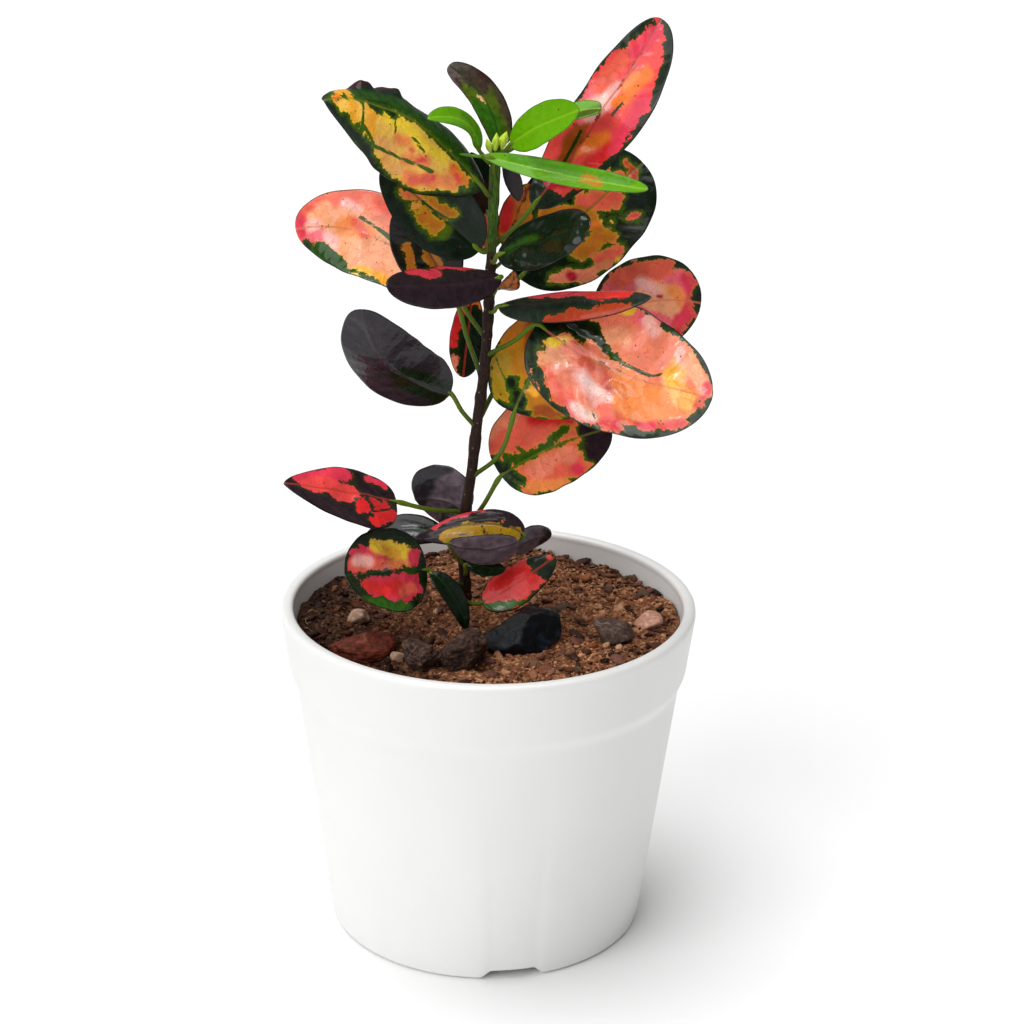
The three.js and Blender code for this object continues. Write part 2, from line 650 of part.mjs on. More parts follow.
function soilSolid() {
  const bottom = FLOOR_TOP + CLEARANCE;
  const topRadius = innerRadiusAt(SOIL_TOP) - SOIL_CLEARANCE;
  const outline = [
    new THREE.Vector2(0, bottom),
    new THREE.Vector2(innerRadiusAt(bottom) - SOIL_CLEARANCE, bottom),
    new THREE.Vector2(innerRadiusAt(BODY_TOP) - SOIL_CLEARANCE, BODY_TOP),
  ];
  for (let i = 0; i <= SOIL_RINGS; i += 1) {
    outline.push(new THREE.Vector2(topRadius * (1 - i / SOIL_RINGS), SOIL_TOP));
  }
  const heap = new THREE.LatheGeometry(outline, SOIL_SIDES).rotateX(Math.PI / 2);
  const place = heap.attributes.position;
  for (let i = 0; i < place.count; i += 1) {
    if (place.getZ(i) > SOIL_TOP - 1) {
      place.setZ(i, SOIL_TOP + soilRelief(place.getX(i), place.getY(i)));
    }
  }
  let soil = solidOf(heap).subtract(stemSleeve);
  for (const thing of looseThings) soil = soil.subtract(looseSolid(thing, CLEARANCE));
  return soil;
}

const plant = new THREE.Group();
plant.add(meshOf("pot", potSolid(), finishes.pot));
plant.add(meshOf("soil", soilSolid(), finishes.mix));
plant.add(meshOf("stem", stemSolid(0), finishes.bark));
for (const leaf of leaves) {
  plant.add(meshOf(`leaf_${leaf.name}`, leafSolid(leaf), finishes[leaf.finish]));
}
for (const thing of looseThings) {
  plant.add(meshOf(thing.name, looseSolid(thing, 0), finishes[thing.finish]));
}

export default plant;
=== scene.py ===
import random
from math import atan2, cos, exp, hypot, pi, radians, sin

import bmesh
import bpy
import numpy as np
from mathutils import Matrix, Vector, noise


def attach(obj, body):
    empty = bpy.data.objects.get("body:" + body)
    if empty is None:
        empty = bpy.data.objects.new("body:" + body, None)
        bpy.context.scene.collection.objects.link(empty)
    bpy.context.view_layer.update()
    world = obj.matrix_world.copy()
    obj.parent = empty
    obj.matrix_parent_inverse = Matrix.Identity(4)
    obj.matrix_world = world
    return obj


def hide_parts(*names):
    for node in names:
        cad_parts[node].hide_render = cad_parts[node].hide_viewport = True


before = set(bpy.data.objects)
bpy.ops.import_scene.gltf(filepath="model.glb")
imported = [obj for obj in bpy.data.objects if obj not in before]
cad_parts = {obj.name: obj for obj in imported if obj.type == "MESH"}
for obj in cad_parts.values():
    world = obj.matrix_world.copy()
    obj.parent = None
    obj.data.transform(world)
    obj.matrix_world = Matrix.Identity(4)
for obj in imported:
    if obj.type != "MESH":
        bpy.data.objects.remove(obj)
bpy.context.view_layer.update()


# Pot
# A round tapered nursery pot with a straight band below its rim, a foot ring with three water
# notches and six drain holes. It is one injection moulding of white polypropylene, about 3 mm thick.

# Sizes are millimetres until a mesh or a pattern is made
MM = 0.001
RIM_RADIUS, POT_HEIGHT = 75, 123.5
FOOT_RADIUS, FOOT_WIDTH, FLOOR_UNDER, FLOOR_TOP = 57.5, 4.5, 6, 9
BODY_TOP, BODY_TOP_RADIUS, BAND_FOOT, BAND_FOOT_RADIUS = 95.5, 70, 100, 72.2
LIP_INNER_RADIUS, LIP_FOOT, WALL, FOOT_BEVEL = 70.4, 120.9, 3.4, 1.2
NOTCH_HEIGHT, NOTCH_HALF_AT_GROUND, NOTCH_HALF_AT_TOP, NOTCH_BEARINGS = 3.3, 11.5, 8, (10.7, 130.7, 250.7)
DRAIN_RADIUS, DRAIN_CIRCLE, DRAIN_HOLES = 5, 34, 6
POT_COLUMNS, DRILL_SIDES = 432, 40
DUST_HEIGHT, DUST_SPREAD = 116, 3.5


def inner_radius(height):
    """The radius inside the pot's wall at that height."""
    if height < BODY_TOP:
        lean = (BODY_TOP_RADIUS - FOOT_RADIUS) / BODY_TOP
        return FOOT_RADIUS + lean * height - WALL
    share = min(1, (height - BODY_TOP) / (LIP_FOOT - BODY_TOP))
    return BODY_TOP_RADIUS - WALL + share * (LIP_INNER_RADIUS - BODY_TOP_RADIUS + WALL)


def eased(corners, steps=6):
    """A profile through (radius, height, easing): each corner is cut back by its easing and rounded."""
    line = []
    for i, (radius, height, easing) in enumerate(corners):
        here = Vector((radius, height))
        if not easing:
            line.append(here)
            continue
        start = here + (Vector(corners[i - 1][:2]) - here).normalized() * easing
        end = here + (Vector(corners[i + 1][:2]) - here).normalized() * easing
        for t in np.linspace(0, 1, steps + 1):
            line.append(start * (1 - t) ** 2 + here * 2 * t * (1 - t) + end * t * t)
    return line


def make_piece(name, points, faces, skins, skin_of_face=None):
    """A smooth mesh with its object at the origin, from points in millimetres. It rides on the root."""
    mesh = bpy.data.meshes.new(name)
    mesh.from_pydata((np.asarray(points, float) * MM).tolist(), [], faces)
    mesh.shade_smooth()
    for skin in skins:
        mesh.materials.append(skin)
    if skin_of_face is not None:
        mesh.polygons.foreach_set("material_index", np.asarray(skin_of_face, np.int32))
    piece = bpy.data.objects.new(name, mesh)
    bpy.context.collection.objects.link(piece)
    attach(piece, "root")
    return piece


def paint(piece, name, kind, values):
    """Stores one value for each point of a piece, for its material to read."""
    layer = piece.data.attributes.new(name, kind, "POINT")
    field = {"FLOAT": "value", "FLOAT_VECTOR": "vector", "FLOAT_COLOR": "color"}[kind]
    layer.data.foreach_set(field, np.asarray(values, np.float32).ravel())


def linear(hex_colour):
    """An sRGB hex value as linear light, with alpha 1."""
    shares = [int(hex_colour[i:i + 2], 16) / 255 for i in (1, 3, 5)]
    return [c / 12.92 if c <= 0.04045 else ((c + 0.055) / 1.055) ** 2.4 for c in shares] + [1.0]


def add(tree, kind, feeds=(), **settings):
    """Adds a node: settings are its own options, feeds the values or nodes that go into its sockets."""
    node = tree.nodes.new("ShaderNode" + kind)
    for option, value in settings.items():
        setattr(node, option, value)
    for socket, value in dict(feeds).items():
        if isinstance(socket, str):
            socket = next(s for s in node.inputs if s.enabled and s.name == socket)
        else:
            socket = node.inputs[socket]
        if isinstance(value, bpy.types.Node):
            value = next(s for s in value.outputs if s.enabled)
        if isinstance(value, bpy.types.NodeSocket):
            tree.links.new(value, socket)
        else:
            socket.default_value = value
    return node


def new_finish(name):
    """An empty material with its node tree and its output node."""
    material = bpy.data.materials.new(name)
    material.use_nodes = True
    material.node_tree.nodes.clear()
    return material, material.node_tree, add(material.node_tree, "OutputMaterial")


# White polypropylene with a satin mould texture: an even soft sheen, and a little dust from the mix
# on the inside wall. The mould's 0.6 mm grain is drawn at 0.9 mm so that it shows.
pot_finish, tree, result = new_finish("white_polypropylene_satin_moulded")
where = add(tree, "TexCoord").outputs["Object"]
cloud = add(tree, "TexNoise", {"Vector": where, "Scale": 1 / (45 * MM), "Detail": 2.0})
plastic = add(tree, "Mix", {"Factor": cloud.outputs["Fac"], "A": linear("#f1f1ef"), "B": linear("#e9e9e7")},
              data_type="RGBA")
crumbs = add(tree, "TexNoise", {"Vector": where, "Scale": 1 / (1.4 * MM), "Detail": 4.0})
dust = add(tree, "Attribute", attribute_name="dust")
speck = add(tree, "Math", {0: dust.outputs["Fac"], 1: crumbs.outputs["Fac"]}, operation="MULTIPLY")
dusty = add(tree, "MapRange", {"Value": speck, "From Min": 0.42, "From Max": 0.62},
            interpolation_type="SMOOTHSTEP")
plastic = add(tree, "Mix", {"Factor": dusty, "A": plastic, "B": linear("#7d6350")}, data_type="RGBA")
grain = add(tree, "TexNoise", {"Vector": where, "Scale": 1 / (0.9 * MM), "Detail": 2.0})
bump = add(tree, "Bump", {"Height": grain.outputs["Fac"], "Distance": 0.02 * MM, "Strength": 0.5})
shader = add(tree, "BsdfPrincipled", {"Base Color": plastic, "Roughness": 0.38, "IOR": 1.49, "Normal": bump})
tree.links.new(shader.outputs[0], result.inputs[0])

pot_profile = eased([
    (0, FLOOR_UNDER, 0), (FOOT_RADIUS - FOOT_WIDTH, FLOOR_UNDER, 1), (FOOT_RADIUS - FOOT_WIDTH, 0, 0.4),
    (FOOT_RADIUS - FOOT_BEVEL, 0, 0.5), (FOOT_RADIUS + 0.16, FOOT_BEVEL, 0.6),
    (BODY_TOP_RADIUS, BODY_TOP, 1.6), (BAND_FOOT_RADIUS, BAND_FOOT, 1.6), (RIM_RADIUS, LIP_FOOT, 0.6),
    (RIM_RADIUS, POT_HEIGHT, 2), (LIP_INNER_RADIUS, POT_HEIGHT, 2), (LIP_INNER_RADIUS, LIP_FOOT, 0.6),
    (BODY_TOP_RADIUS - WALL, BODY_TOP, 1.6), (inner_radius(FLOOR_TOP), FLOOR_TOP, 2.5), (0, FLOOR_TOP, 0),
])
ring_profile = pot_profile[1:-1]
bearings = np.arange(POT_COLUMNS) * 2 * pi / POT_COLUMNS
notch = np.zeros(POT_COLUMNS)
for bearing in NOTCH_BEARINGS:
    off = np.abs((bearings - radians(bearing) + pi) % (2 * pi) - pi) * FOOT_RADIUS
    slope = (NOTCH_HALF_AT_GROUND - off) / (NOTCH_HALF_AT_GROUND - NOTCH_HALF_AT_TOP)
    notch = np.maximum(notch, NOTCH_HEIGHT * np.clip(slope, 0, 1))
points, dust_values = [], []
for radius, height in ring_profile:
    lift = notch * max(0, 1 - height / FLOOR_UNDER)
    points.append(np.stack([radius * np.sin(bearings), -radius * np.cos(bearings), height + lift], 1))
    inside = radius < LIP_INNER_RADIUS + 0.1 and height > BAND_FOOT
    dust_values += [exp(-((height - DUST_HEIGHT) / DUST_SPREAD) ** 2) if inside else 0] * POT_COLUMNS
points = np.vstack(points + [[[0, 0, FLOOR_UNDER]], [[0, 0, FLOOR_TOP]]])
dust_values += [0, 0]
rings = len(ring_profile)
under, above = len(points) - 2, len(points) - 1
faces = []
for c in range(POT_COLUMNS):
    d = (c + 1) % POT_COLUMNS
    faces.append((under, d, c))
    starts = [r * POT_COLUMNS for r in range(rings)]
    faces += [(r + c, r + d, r + POT_COLUMNS + d, r + POT_COLUMNS + c) for r in starts[:-1]]
    faces.append((starts[-1] + c, starts[-1] + d, above))
pot = make_piece("moulded_pot", points, faces, [pot_finish])
paint(pot, "dust", "FLOAT", dust_values)

drill_points, drill_faces = [], []
for hole in range(DRAIN_HOLES):
    turn = 2 * pi * hole / DRAIN_HOLES
    first = len(drill_points)
    for height in (FLOOR_UNDER - 3, FLOOR_TOP + 3):
        for side in range(DRILL_SIDES):
            a = 2 * pi * side / DRILL_SIDES
            drill_points.append((DRAIN_CIRCLE * cos(turn) + DRAIN_RADIUS * cos(a),
                                 DRAIN_CIRCLE * sin(turn) + DRAIN_RADIUS * sin(a), height))
    ring = list(range(first, first + DRILL_SIDES))
    drill_faces.append(ring[::-1])
    drill_faces.append([i + DRILL_SIDES for i in ring])
    drill_faces += [(i, j, j + DRILL_SIDES, i + DRILL_SIDES) for i, j in zip(ring, ring[1:] + ring[:1])]
drill = make_piece("drain_hole_drill", drill_points, drill_faces, [pot_finish])
cut = pot.modifiers.new("drain holes", "BOOLEAN")
cut.object, cut.operation, cut.solver = drill, "DIFFERENCE", "EXACT"
drilled = bpy.data.meshes.new_from_object(pot.evaluated_get(bpy.context.evaluated_depsgraph_get()))
pot.modifiers.clear()
pot.data = drilled
bpy.data.objects.remove(drill)
pot.data.set_sharp_from_angle(angle=radians(32))
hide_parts("pot")


# Potting mix
# Moist coir and fine bark that fills the pot to 7 mm below its rim. The bed is one closed piece with
# a crumbly top, and loose crumbs, bark chips and coir fibres lie on it.

SOIL_TOP, SOIL_CLEARANCE = 116.5, 0.5
BED_CELLS, BURIED_TONE = 250, 0.4
# The mix is palest out to this far from its middle, then darkens over the next stretch towards the wall
PALE_REACH, PALE_FADE = 52, 20
LOOSE_BITS, BIG_CHIPS, SMALL_CHIPS, FIBRES, FIBRE_RADIUS = 2900, 70, 190, 150, 0.17


def bed_height(x, y):
    """The height of the bed's top at a place: its swell, then clods of 7 mm, crumbs of 3 mm and grains."""
    swell = 0.9 * sin(x / 9 + 1) * cos(y / 11) + 0.6 * sin((x + y) / 5.5)
    clods = 1.5 * noise.noise(Vector((x, y, 4)) / 8)
    crumbs = 1.5 * (0.42 - noise.voronoi(Vector((x, y, 0)) / 3.4)[0][0])
    grains = 0.7 * (0.42 - noise.voronoi(Vector((x, y, 9)) / 1.4)[0][0])
    return SOIL_TOP + swell + clods + crumbs + grains


def painted_front_left_shade(x, y):
    """Painted shade over the mix: 0 in the middle and at the right, 1 at its darkest towards the front left.
    """
    return max(0, min(1, (-x - 0.3 * y - 20) / 24))


def from_pale_middle(x, y):
    """How far a place lies from the palest part of the bed."""
    return hypot(x, y + 6)


def soil_look(name, dark, mid, light, grain_mm, roughness, depth_mm):
    """A crumbly matt finish: three tones spread by grain, and darker where the tone attribute, which carries
    painted shade, is low.
    """
    finish, tree, result = new_finish(name)
    where = add(tree, "TexCoord").outputs["Object"]
    tone = add(tree, "Attribute", attribute_name="tone")
    coarse = add(tree, "TexNoise", {"Vector": where, "Scale": 1 / (grain_mm * 4 * MM), "Detail": 3.0})
    fine = add(tree, "TexNoise", {"Vector": where, "Scale": 1 / (grain_mm * MM), "Detail": 5.0,
                                  "Roughness": 0.7})
    cells = add(tree, "TexVoronoi", {"Vector": where, "Scale": 1 / (grain_mm * 1.2 * MM)})
    spread = add(tree, "MapRange", {"Value": fine.outputs["Fac"], "From Min": 0.36, "From Max": 0.64})
    ground = add(tree, "Mix", {"Factor": spread, "A": linear(dark), "B": linear(mid)}, data_type="RGBA")
    pale = add(tree, "SeparateColor", {"Color": cells.outputs["Color"]})
    pale = add(tree, "MapRange", {"Value": pale.outputs["Red"], "From Min": 0.62, "From Max": 0.95})
    ground = add(tree, "Mix", {"Factor": pale, "A": ground, "B": linear(light)}, data_type="RGBA")
    patch = add(tree, "MapRange", {"Value": coarse.outputs["Fac"], "From Min": 0.35, "From Max": 0.65,
                                   "To Min": 0.7, "To Max": 1.1})
    shade = add(tree, "Math", {0: tone.outputs["Fac"], 1: patch}, operation="MULTIPLY")
    ground = add(tree, "Mix", {"Factor": 1.0, "A": ground, "B": shade},
                 data_type="RGBA", blend_type="MULTIPLY")
    bump = add(tree, "Bump", {"Height": fine.outputs["Fac"], "Distance": depth_mm * MM, "Strength": 0.9})
    shader = add(tree, "BsdfPrincipled", {"Base Color": ground, "Roughness": roughness, "IOR": 1.45,
                                          "Specular IOR Level": 0.1, "Normal": bump})
    tree.links.new(shader.outputs[0], result.inputs[0])
    return finish


# Coir dust and fine bark, moist: no shine, tan in the middle and darker towards the wall, with painted shade
# near black in the gaps and dark at the front left.
mix_finish = soil_look("coir_and_bark_mix_moist", "#5c3722", "#a86c49", "#cf9a72", 0.9, 0.75, 0.3)

bed_radius = inner_radius(SOIL_TOP) - SOIL_CLEARANCE
grid = np.linspace(-1, 1, BED_CELLS + 1)
points, tones = [], []
for gy in grid:
    for gx in grid:
        reach = max(abs(gx), abs(gy))
        a = atan2(gy, gx)
        x, y = bed_radius * reach * cos(a), bed_radius * reach * sin(a)
        z = bed_height(x, y)
        z -= 0.6 * max(0, (reach - 0.985) / 0.015)
        points.append((x, y, z))
        # Tone: darker towards the wall, with painted shade and light that darken the hollows between the
        # clods, lighten their tops and darken the front left.
        edge = max(0, (from_pale_middle(x, y) - PALE_REACH) / PALE_FADE)
        raised = (z - SOIL_TOP + 1.6) / 3.6
        front_left_shade = 1 - 0.8 * painted_front_left_shade(x, y)
        tones.append(min(1.3, max(0.34, 0.62 + 0.62 * raised)) * (1 - 0.45 * min(1, edge)) * front_left_shade)
side = BED_CELLS + 1
faces = [(r * side + c, r * side + c + 1, (r + 1) * side + c + 1, (r + 1) * side + c)
         for r in range(BED_CELLS) for c in range(BED_CELLS)]
outward, homeward = range(BED_CELLS), range(BED_CELLS, 0, -1)
border = [*outward, *(r * side + BED_CELLS for r in outward)]
border += [*(BED_CELLS * side + c for c in homeward), *(r * side for r in homeward)]
above_ring = border
for height in (BODY_TOP, FLOOR_TOP + SOIL_CLEARANCE):
    ring = []
    for i in border:
        x, y = points[i][:2]
        scale = (inner_radius(height) - SOIL_CLEARANCE) / hypot(x, y)
        ring.append(len(points))
        points.append((x * scale, y * scale, height))
        tones.append(BURIED_TONE)
    following = above_ring[1:] + above_ring[:1], ring[1:] + ring[:1]
    faces += [(b, a, c, d) for a, b, c, d in zip(above_ring, following[0], ring, following[1])]
    above_ring = ring
points.append((0, 0, FLOOR_TOP + SOIL_CLEARANCE))
tones.append(BURIED_TONE)
faces += [(above_ring[(i + 1) % len(ring)], above_ring[i], len(points) - 1) for i in range(len(ring))]
bed = make_piece("potting_mix_bed", points, faces, [mix_finish])
paint(bed, "tone", "FLOAT", tones)
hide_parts("soil")


def ball(level):
    """Directions and faces of a subdivided icosahedron, to be worn into a stone or a crumb."""
    shape = bmesh.new()
    bmesh.ops.create_icosphere(shape, subdivisions=level, radius=1)
    directions = np.array([v.co for v in shape.verts])
    triangles = [tuple(v.index for v in f.verts) for f in shape.faces]
    shape.free()
    return directions, triangles


def hewn(directions, facets, draw, sharpness, spread):
    """A stone of about unit size: flat facets at random distances from its middle, their edges worn."""
    normals = np.array([draw.gauss(0, 1) for _ in range(facets * 3)]).reshape(facets, 3)
    normals /= np.linalg.norm(normals, axis=1, keepdims=True)
    reach = np.array([draw.uniform(1 - spread, 1) for _ in range(facets)])
    facing = np.maximum(directions @ normals.T, 0) / reach
    size = (facing ** sharpness).sum(1) ** (-1 / sharpness)
    return directions * np.minimum(size, 1.25)[:, None]


def turned(lean_x, lean_y, turn):
    """A rotation from three angles in degrees."""
    return np.array(Matrix.Rotation(radians(turn), 3, "Z") @ Matrix.Rotation(radians(lean_y), 3, "Y")
                    @ Matrix.Rotation(radians(lean_x), 3, "X"))


# Where the stones, the big bark chips and the stem stand, so that the loose bits keep clear of them
kept_clear = [(11.5, -18, 13), (-43, -31, 10), (-22.5, -43, 6), (-7.5, -46.5, 7.5), (45, -16, 7), (58, -5, 5),
              (-47, -5, 3.5), (-8.4, 9.3, 3)]
draw = random.Random(41)
fine_ball, coarse_ball = ball(2), ball(1)
crumb_shapes = [hewn(fine_ball[0], 12, draw, 9, 0.45) for _ in range(10)]
grain_shapes = [hewn(coarse_ball[0], 9, draw, 8, 0.4) for _ in range(8)]
bit_tones = ["#9c6848", "#8f5a3e", "#784a32", "#623c28", "#ad7856", "#c29470", "#855542", "#935632",
             "#6e4737"]
dark_tones = ["#34190f", "#422216", "#24120a", "#542c1c", "#60311f"]
chip_tones = ["#5a3c30", "#664638", "#4a2e22", "#3a241b", "#75523f", "#7c503a", "#523a31"]
points, faces, tints = [], [], []


def between(*limits):
    """A random length, breadth and height, each between its two limits."""
    return np.array([draw.uniform(low, high) for low, high in limits])


def scatter(shape, triangles, size, place, rotation, colour):
    """Adds one loose bit to the litter."""
    first = len(tints)
    placed = (shape * size) @ rotation.T + place
    points.append(placed)
    faces.extend([(a + first, b + first, c + first) for a, b, c in triangles])
    tints.extend([colour] * len(placed))


for i in range(LOOSE_BITS):
    a, reach = draw.uniform(0, 2 * pi), draw.random() ** 0.5 * (bed_radius - 1.5)
    x, y = reach * cos(a), reach * sin(a)
    if any(hypot(x - kx, y - ky) < clear + 1 for kx, ky, clear in kept_clear):
        continue
    at_edge = from_pale_middle(x, y) > 50 + draw.uniform(-8, 8)
    tone = linear(draw.choice(dark_tones if at_edge and draw.random() < 0.7 else bit_tones))
    glow = draw.uniform(0.8, 1.2)
    # Painted shade: bits towards the front left are darker and redder.
    front_left_shade = 1.08 - 0.8 * painted_front_left_shade(x, y)
    tone = [min(1, c * glow * front_left_shade ** power) for c, power in zip(tone, (1, 1.25, 1.4))] + [1]
    rotation = turned(draw.uniform(-25, 25), draw.uniform(-25, 25), draw.uniform(0, 360))
    if i < BIG_CHIPS:
        size = draw.uniform(2.4, 4.2) * np.array([1, draw.uniform(0.55, 0.8), draw.uniform(0.22, 0.4)])
        tone = [c * front_left_shade * draw.uniform(0.85, 1.15) for c in linear(draw.choice(chip_tones))[:3]] + [1]
        shapes, triangles, lift = crumb_shapes, fine_ball[1], 0.4
    elif i < BIG_CHIPS + SMALL_CHIPS:
        size = draw.uniform(1.2, 2.4) * between((1, 1.7), (0.7, 1.1), (0.35, 0.7))
        shapes, triangles, lift = crumb_shapes, fine_ball[1], 0.3
    else:
        size = draw.uniform(0.3, 0.8) * between((1, 1.6), (0.8, 1.1), (0.5, 0.9))
        shapes, triangles, lift = grain_shapes, coarse_ball[1], 0.25
    scatter(draw.choice(shapes), triangles, size, (x, y, bed_height(x, y) + lift), rotation, tone)

# Coir fibres: hair-thin bent threads, drawn 0.35 mm thick so that they show
for i in range(FIBRES):
    a, reach = draw.uniform(0, 2 * pi), draw.uniform(0.35, 0.96) * bed_radius
    x, y = reach * cos(a), reach * sin(a)
    if any(hypot(x - kx, y - ky) < clear + 3 for kx, ky, clear in kept_clear):
        continue
    heading, bend, long = draw.uniform(0, 2 * pi), draw.uniform(-0.35, 0.35), draw.uniform(4, 9)
    tone = linear(draw.choice(["#3a2519", "#6b4630", "#a27c5c", "#241711"]))
    spine = []
    for k in range(7):
        x += cos(heading) * long / 7
        y += sin(heading) * long / 7
        heading += bend + draw.uniform(-0.2, 0.2)
        if hypot(x, y) > bed_radius - 1:
            break
        spine.append((x, y, bed_height(x, y) + 0.5 + 0.5 * sin(pi * k / 6)))
    if len(spine) < 4:
        continue
    section = [(FIBRE_RADIUS * cos(q), FIBRE_RADIUS * sin(q) * 0.5, FIBRE_RADIUS * sin(q))
               for q in (0, 2.1, 4.2)]
    thread = np.array([(x + dx, y + dy, z + dz) for x, y, z in spine for dx, dy, dz in section])
    sides = [(k, j, (j + 1) % 3) for k in range(0, len(thread) - 3, 3) for j in range(3)]
    skin = [(k + j, k + after, k + 3 + after) for k, j, after in sides]
    skin += [(k + j, k + 3 + after, k + 3 + j) for k, j, after in sides]
    skin += [(2, 1, 0), (len(thread) - 3, len(thread) - 2, len(thread) - 1)]
    scatter(thread, skin, 1, 0, np.eye(3), tone)

# Bark crumbs and coir: matt, each bit of one tone with a fibrous grain over it.
litter_finish, tree, result = new_finish("bark_crumbs_matt")
where = add(tree, "TexCoord").outputs["Object"]
tint = add(tree, "Attribute", attribute_name="tint")
fibre = add(tree, "TexNoise", {"Vector": where, "Scale": 1 / (0.7 * MM), "Detail": 4.0, "Distortion": 1.5})
worn = add(tree, "MapRange", {"Value": fibre.outputs["Fac"], "From Min": 0.3, "From Max": 0.7, "To Min": 0.6,
                              "To Max": 1.25})
tone = add(tree, "Mix", {"Factor": 1.0, "A": tint.outputs["Color"], "B": worn},
           data_type="RGBA", blend_type="MULTIPLY")
bump = add(tree, "Bump", {"Height": fibre.outputs["Fac"], "Distance": 0.15 * MM, "Strength": 0.9})
shader = add(tree, "BsdfPrincipled", {"Base Color": tone, "Roughness": 0.55, "IOR": 1.45,
                                      "Specular IOR Level": 0.15, "Normal": bump})
tree.links.new(shader.outputs[0], result.inputs[0])
litter = make_piece("bark_crumbs_and_coir", np.vstack(points), faces, [litter_finish])
paint(litter, "tint", "FLOAT_COLOR", tints)


# Stones and bark chips
# One black split stone, a grey-brown one, small pebbles and three flakes of bark, pressed a little
# into the mix. Stones are broken along flat facets, bark is split in layers.

def stone_look(name, dark, mid, light, spot_mm, roughness, coat, ridge_mm):
    """A stone or bark finish: mottled in three tones, with its fine relief."""
    finish, tree, result = new_finish(name)
    where = add(tree, "TexCoord").outputs["Object"]
    mottle = add(tree, "TexNoise", {"Vector": where, "Scale": 1 / (spot_mm * MM), "Detail": 5.0,
                                    "Roughness": 0.65})
    veins = add(tree, "TexNoise", {"Vector": where, "Scale": 1 / (spot_mm * 3 * MM), "Detail": 3.0,
                                   "Distortion": 1.2})
    a = add(tree, "MapRange", {"Value": mottle.outputs["Fac"], "From Min": 0.35, "From Max": 0.62})
    b = add(tree, "MapRange", {"Value": veins.outputs["Fac"], "From Min": 0.52, "From Max": 0.72})
    tone = add(tree, "Mix", {"Factor": a, "A": linear(dark), "B": linear(mid)}, data_type="RGBA")
    tone = add(tree, "Mix", {"Factor": b, "A": tone, "B": linear(light)}, data_type="RGBA")
    rough = add(tree, "MapRange", {"Value": mottle.outputs["Fac"], "To Min": roughness - 0.12,
                                   "To Max": roughness + 0.12})
    bump = add(tree, "Bump", {"Height": mottle.outputs["Fac"], "Distance": ridge_mm * MM, "Strength": 0.9})
    shader = add(tree, "BsdfPrincipled", {"Base Color": tone, "Roughness": rough, "IOR": 1.5,
                                          "Specular IOR Level": 0.15, "Coat Weight": coat,
                                          "Coat Roughness": 0.3, "Normal": bump})
    tree.links.new(shader.outputs[0], result.inputs[0])
    return finish


stone_finishes = {
    # Dark flinty stone, freshly split: near black, its flat faces catch the light
    "charcoal": stone_look("black_flinty_stone_split", "#060708", "#0c0f12", "#1a2733", 2.4, 0.3, 0.0, 0.7),
    # Pine bark, its red-brown inner face: matt, in thin layers
    "red_bark": stone_look("pine_bark_red_brown", "#43190f", "#753524", "#8f5140", 1.8, 0.6, 0.0, 0.3),
    # Old bark, soaked: dark, crumbly and matt
    "dark_bark": stone_look("pine_bark_dark_soaked", "#1b1210", "#4a352c", "#6d5245", 1.2, 0.8, 0.0, 0.4),
    # Grey-brown sandstone, worn
    "grey_stone": stone_look("sandstone_grey_brown", "#3a2a25", "#5f4b43", "#77625a", 1.0, 0.72, 0.0, 0.15),
    # Feldspar pebble, pale pink
    "pink_stone": stone_look("feldspar_pebble_pink", "#a97860", "#c9957f", "#e3bba8", 1.1, 0.55, 0.1, 0.1),
    # Limestone pebble, pale tan
    "pale_stone": stone_look("limestone_pebble_tan", "#8d6a54", "#b08f79", "#d0b4a0", 0.9, 0.6, 0.05, 0.1),
}

# Each one: name, node, finish, middle, half sizes, turn in degrees, how fine its mesh is, then its
# facets, how sharp their edges are, and how deep its layers are in mm
loose_things = [
    ("black_split_stone", "charcoal_stone", "charcoal", (14.2, -21.5, 119.6), (13.5, 9.5, 8), 27, 6, 10,
     40, 0),
    ("red_bark_flake", "red_bark_chip", "red_bark", (-40.8, -31, 118.9), (11.5, 9.5, 6), -10, 6, 18, 7, 0.5),
    ("dark_bark_flake_left", "dark_bark_left", "dark_bark", (-23, -42, 118.8), (5, 8.6, 5.4), 38, 6, 8,
     14, 0.6),
    ("dark_bark_flake_right", "dark_bark_right", "dark_bark", (-9, -40.5, 119.8), (7.6, 10, 7.4), -28, 6,
     9, 14, 0.7),
    ("grey_worn_stone", "grey_stone", "grey_stone", (45, -16, 118.5), (7.2, 6.6, 4.8), -30, 5, 12, 10, 0),
    ("rose_pebble", "pink_pebble", "pink_stone", (58, -5, 117.9), (4.3, 5.2, 3.1), 0, 4, 9, 12, 0),
    ("pale_pebble", "pale_stone", "pale_stone", (-47, -5, 118), (3.8, 3.2, 2.6), 30, 4, 10, 12, 0),
    ("tan_pebble_grain", "tan_pebble", "pale_stone", (-30.5, -38, 117.9), (2.7, 2.3, 1.9), 0, 4, 10, 8, 0),
]
for number, (name, node, finish, at, half, turn, level, facets, sharpness, layers) in enumerate(loose_things):
    draw = random.Random(70 + number)
    directions, triangles = ball(level)
    shape = hewn(directions, facets, draw, sharpness, 0.28)
    worn = []
    for p in shape:
        spot = Vector(p * half)
        bulge = 1 + 0.05 * noise.noise(spot / 3 + Vector((number * 9, 0, 0)))
        step = layers * noise.noise(Vector((spot.x / 5, spot.y / 1.6, spot.z / 0.8)))
        worn.append(np.array(spot) * bulge + p * step)
    placed = np.array(worn) @ turned(0, 0, turn).T + at
    thing = make_piece(name, placed, triangles, [stone_finishes[finish]])
    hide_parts(node)


# Stem
# One upright woody stem, 4 mm thick: dark brown bark below and smooth green near the top, swollen
# where most leaves join it and dotted with pale pores. Three soft buds close its tip.

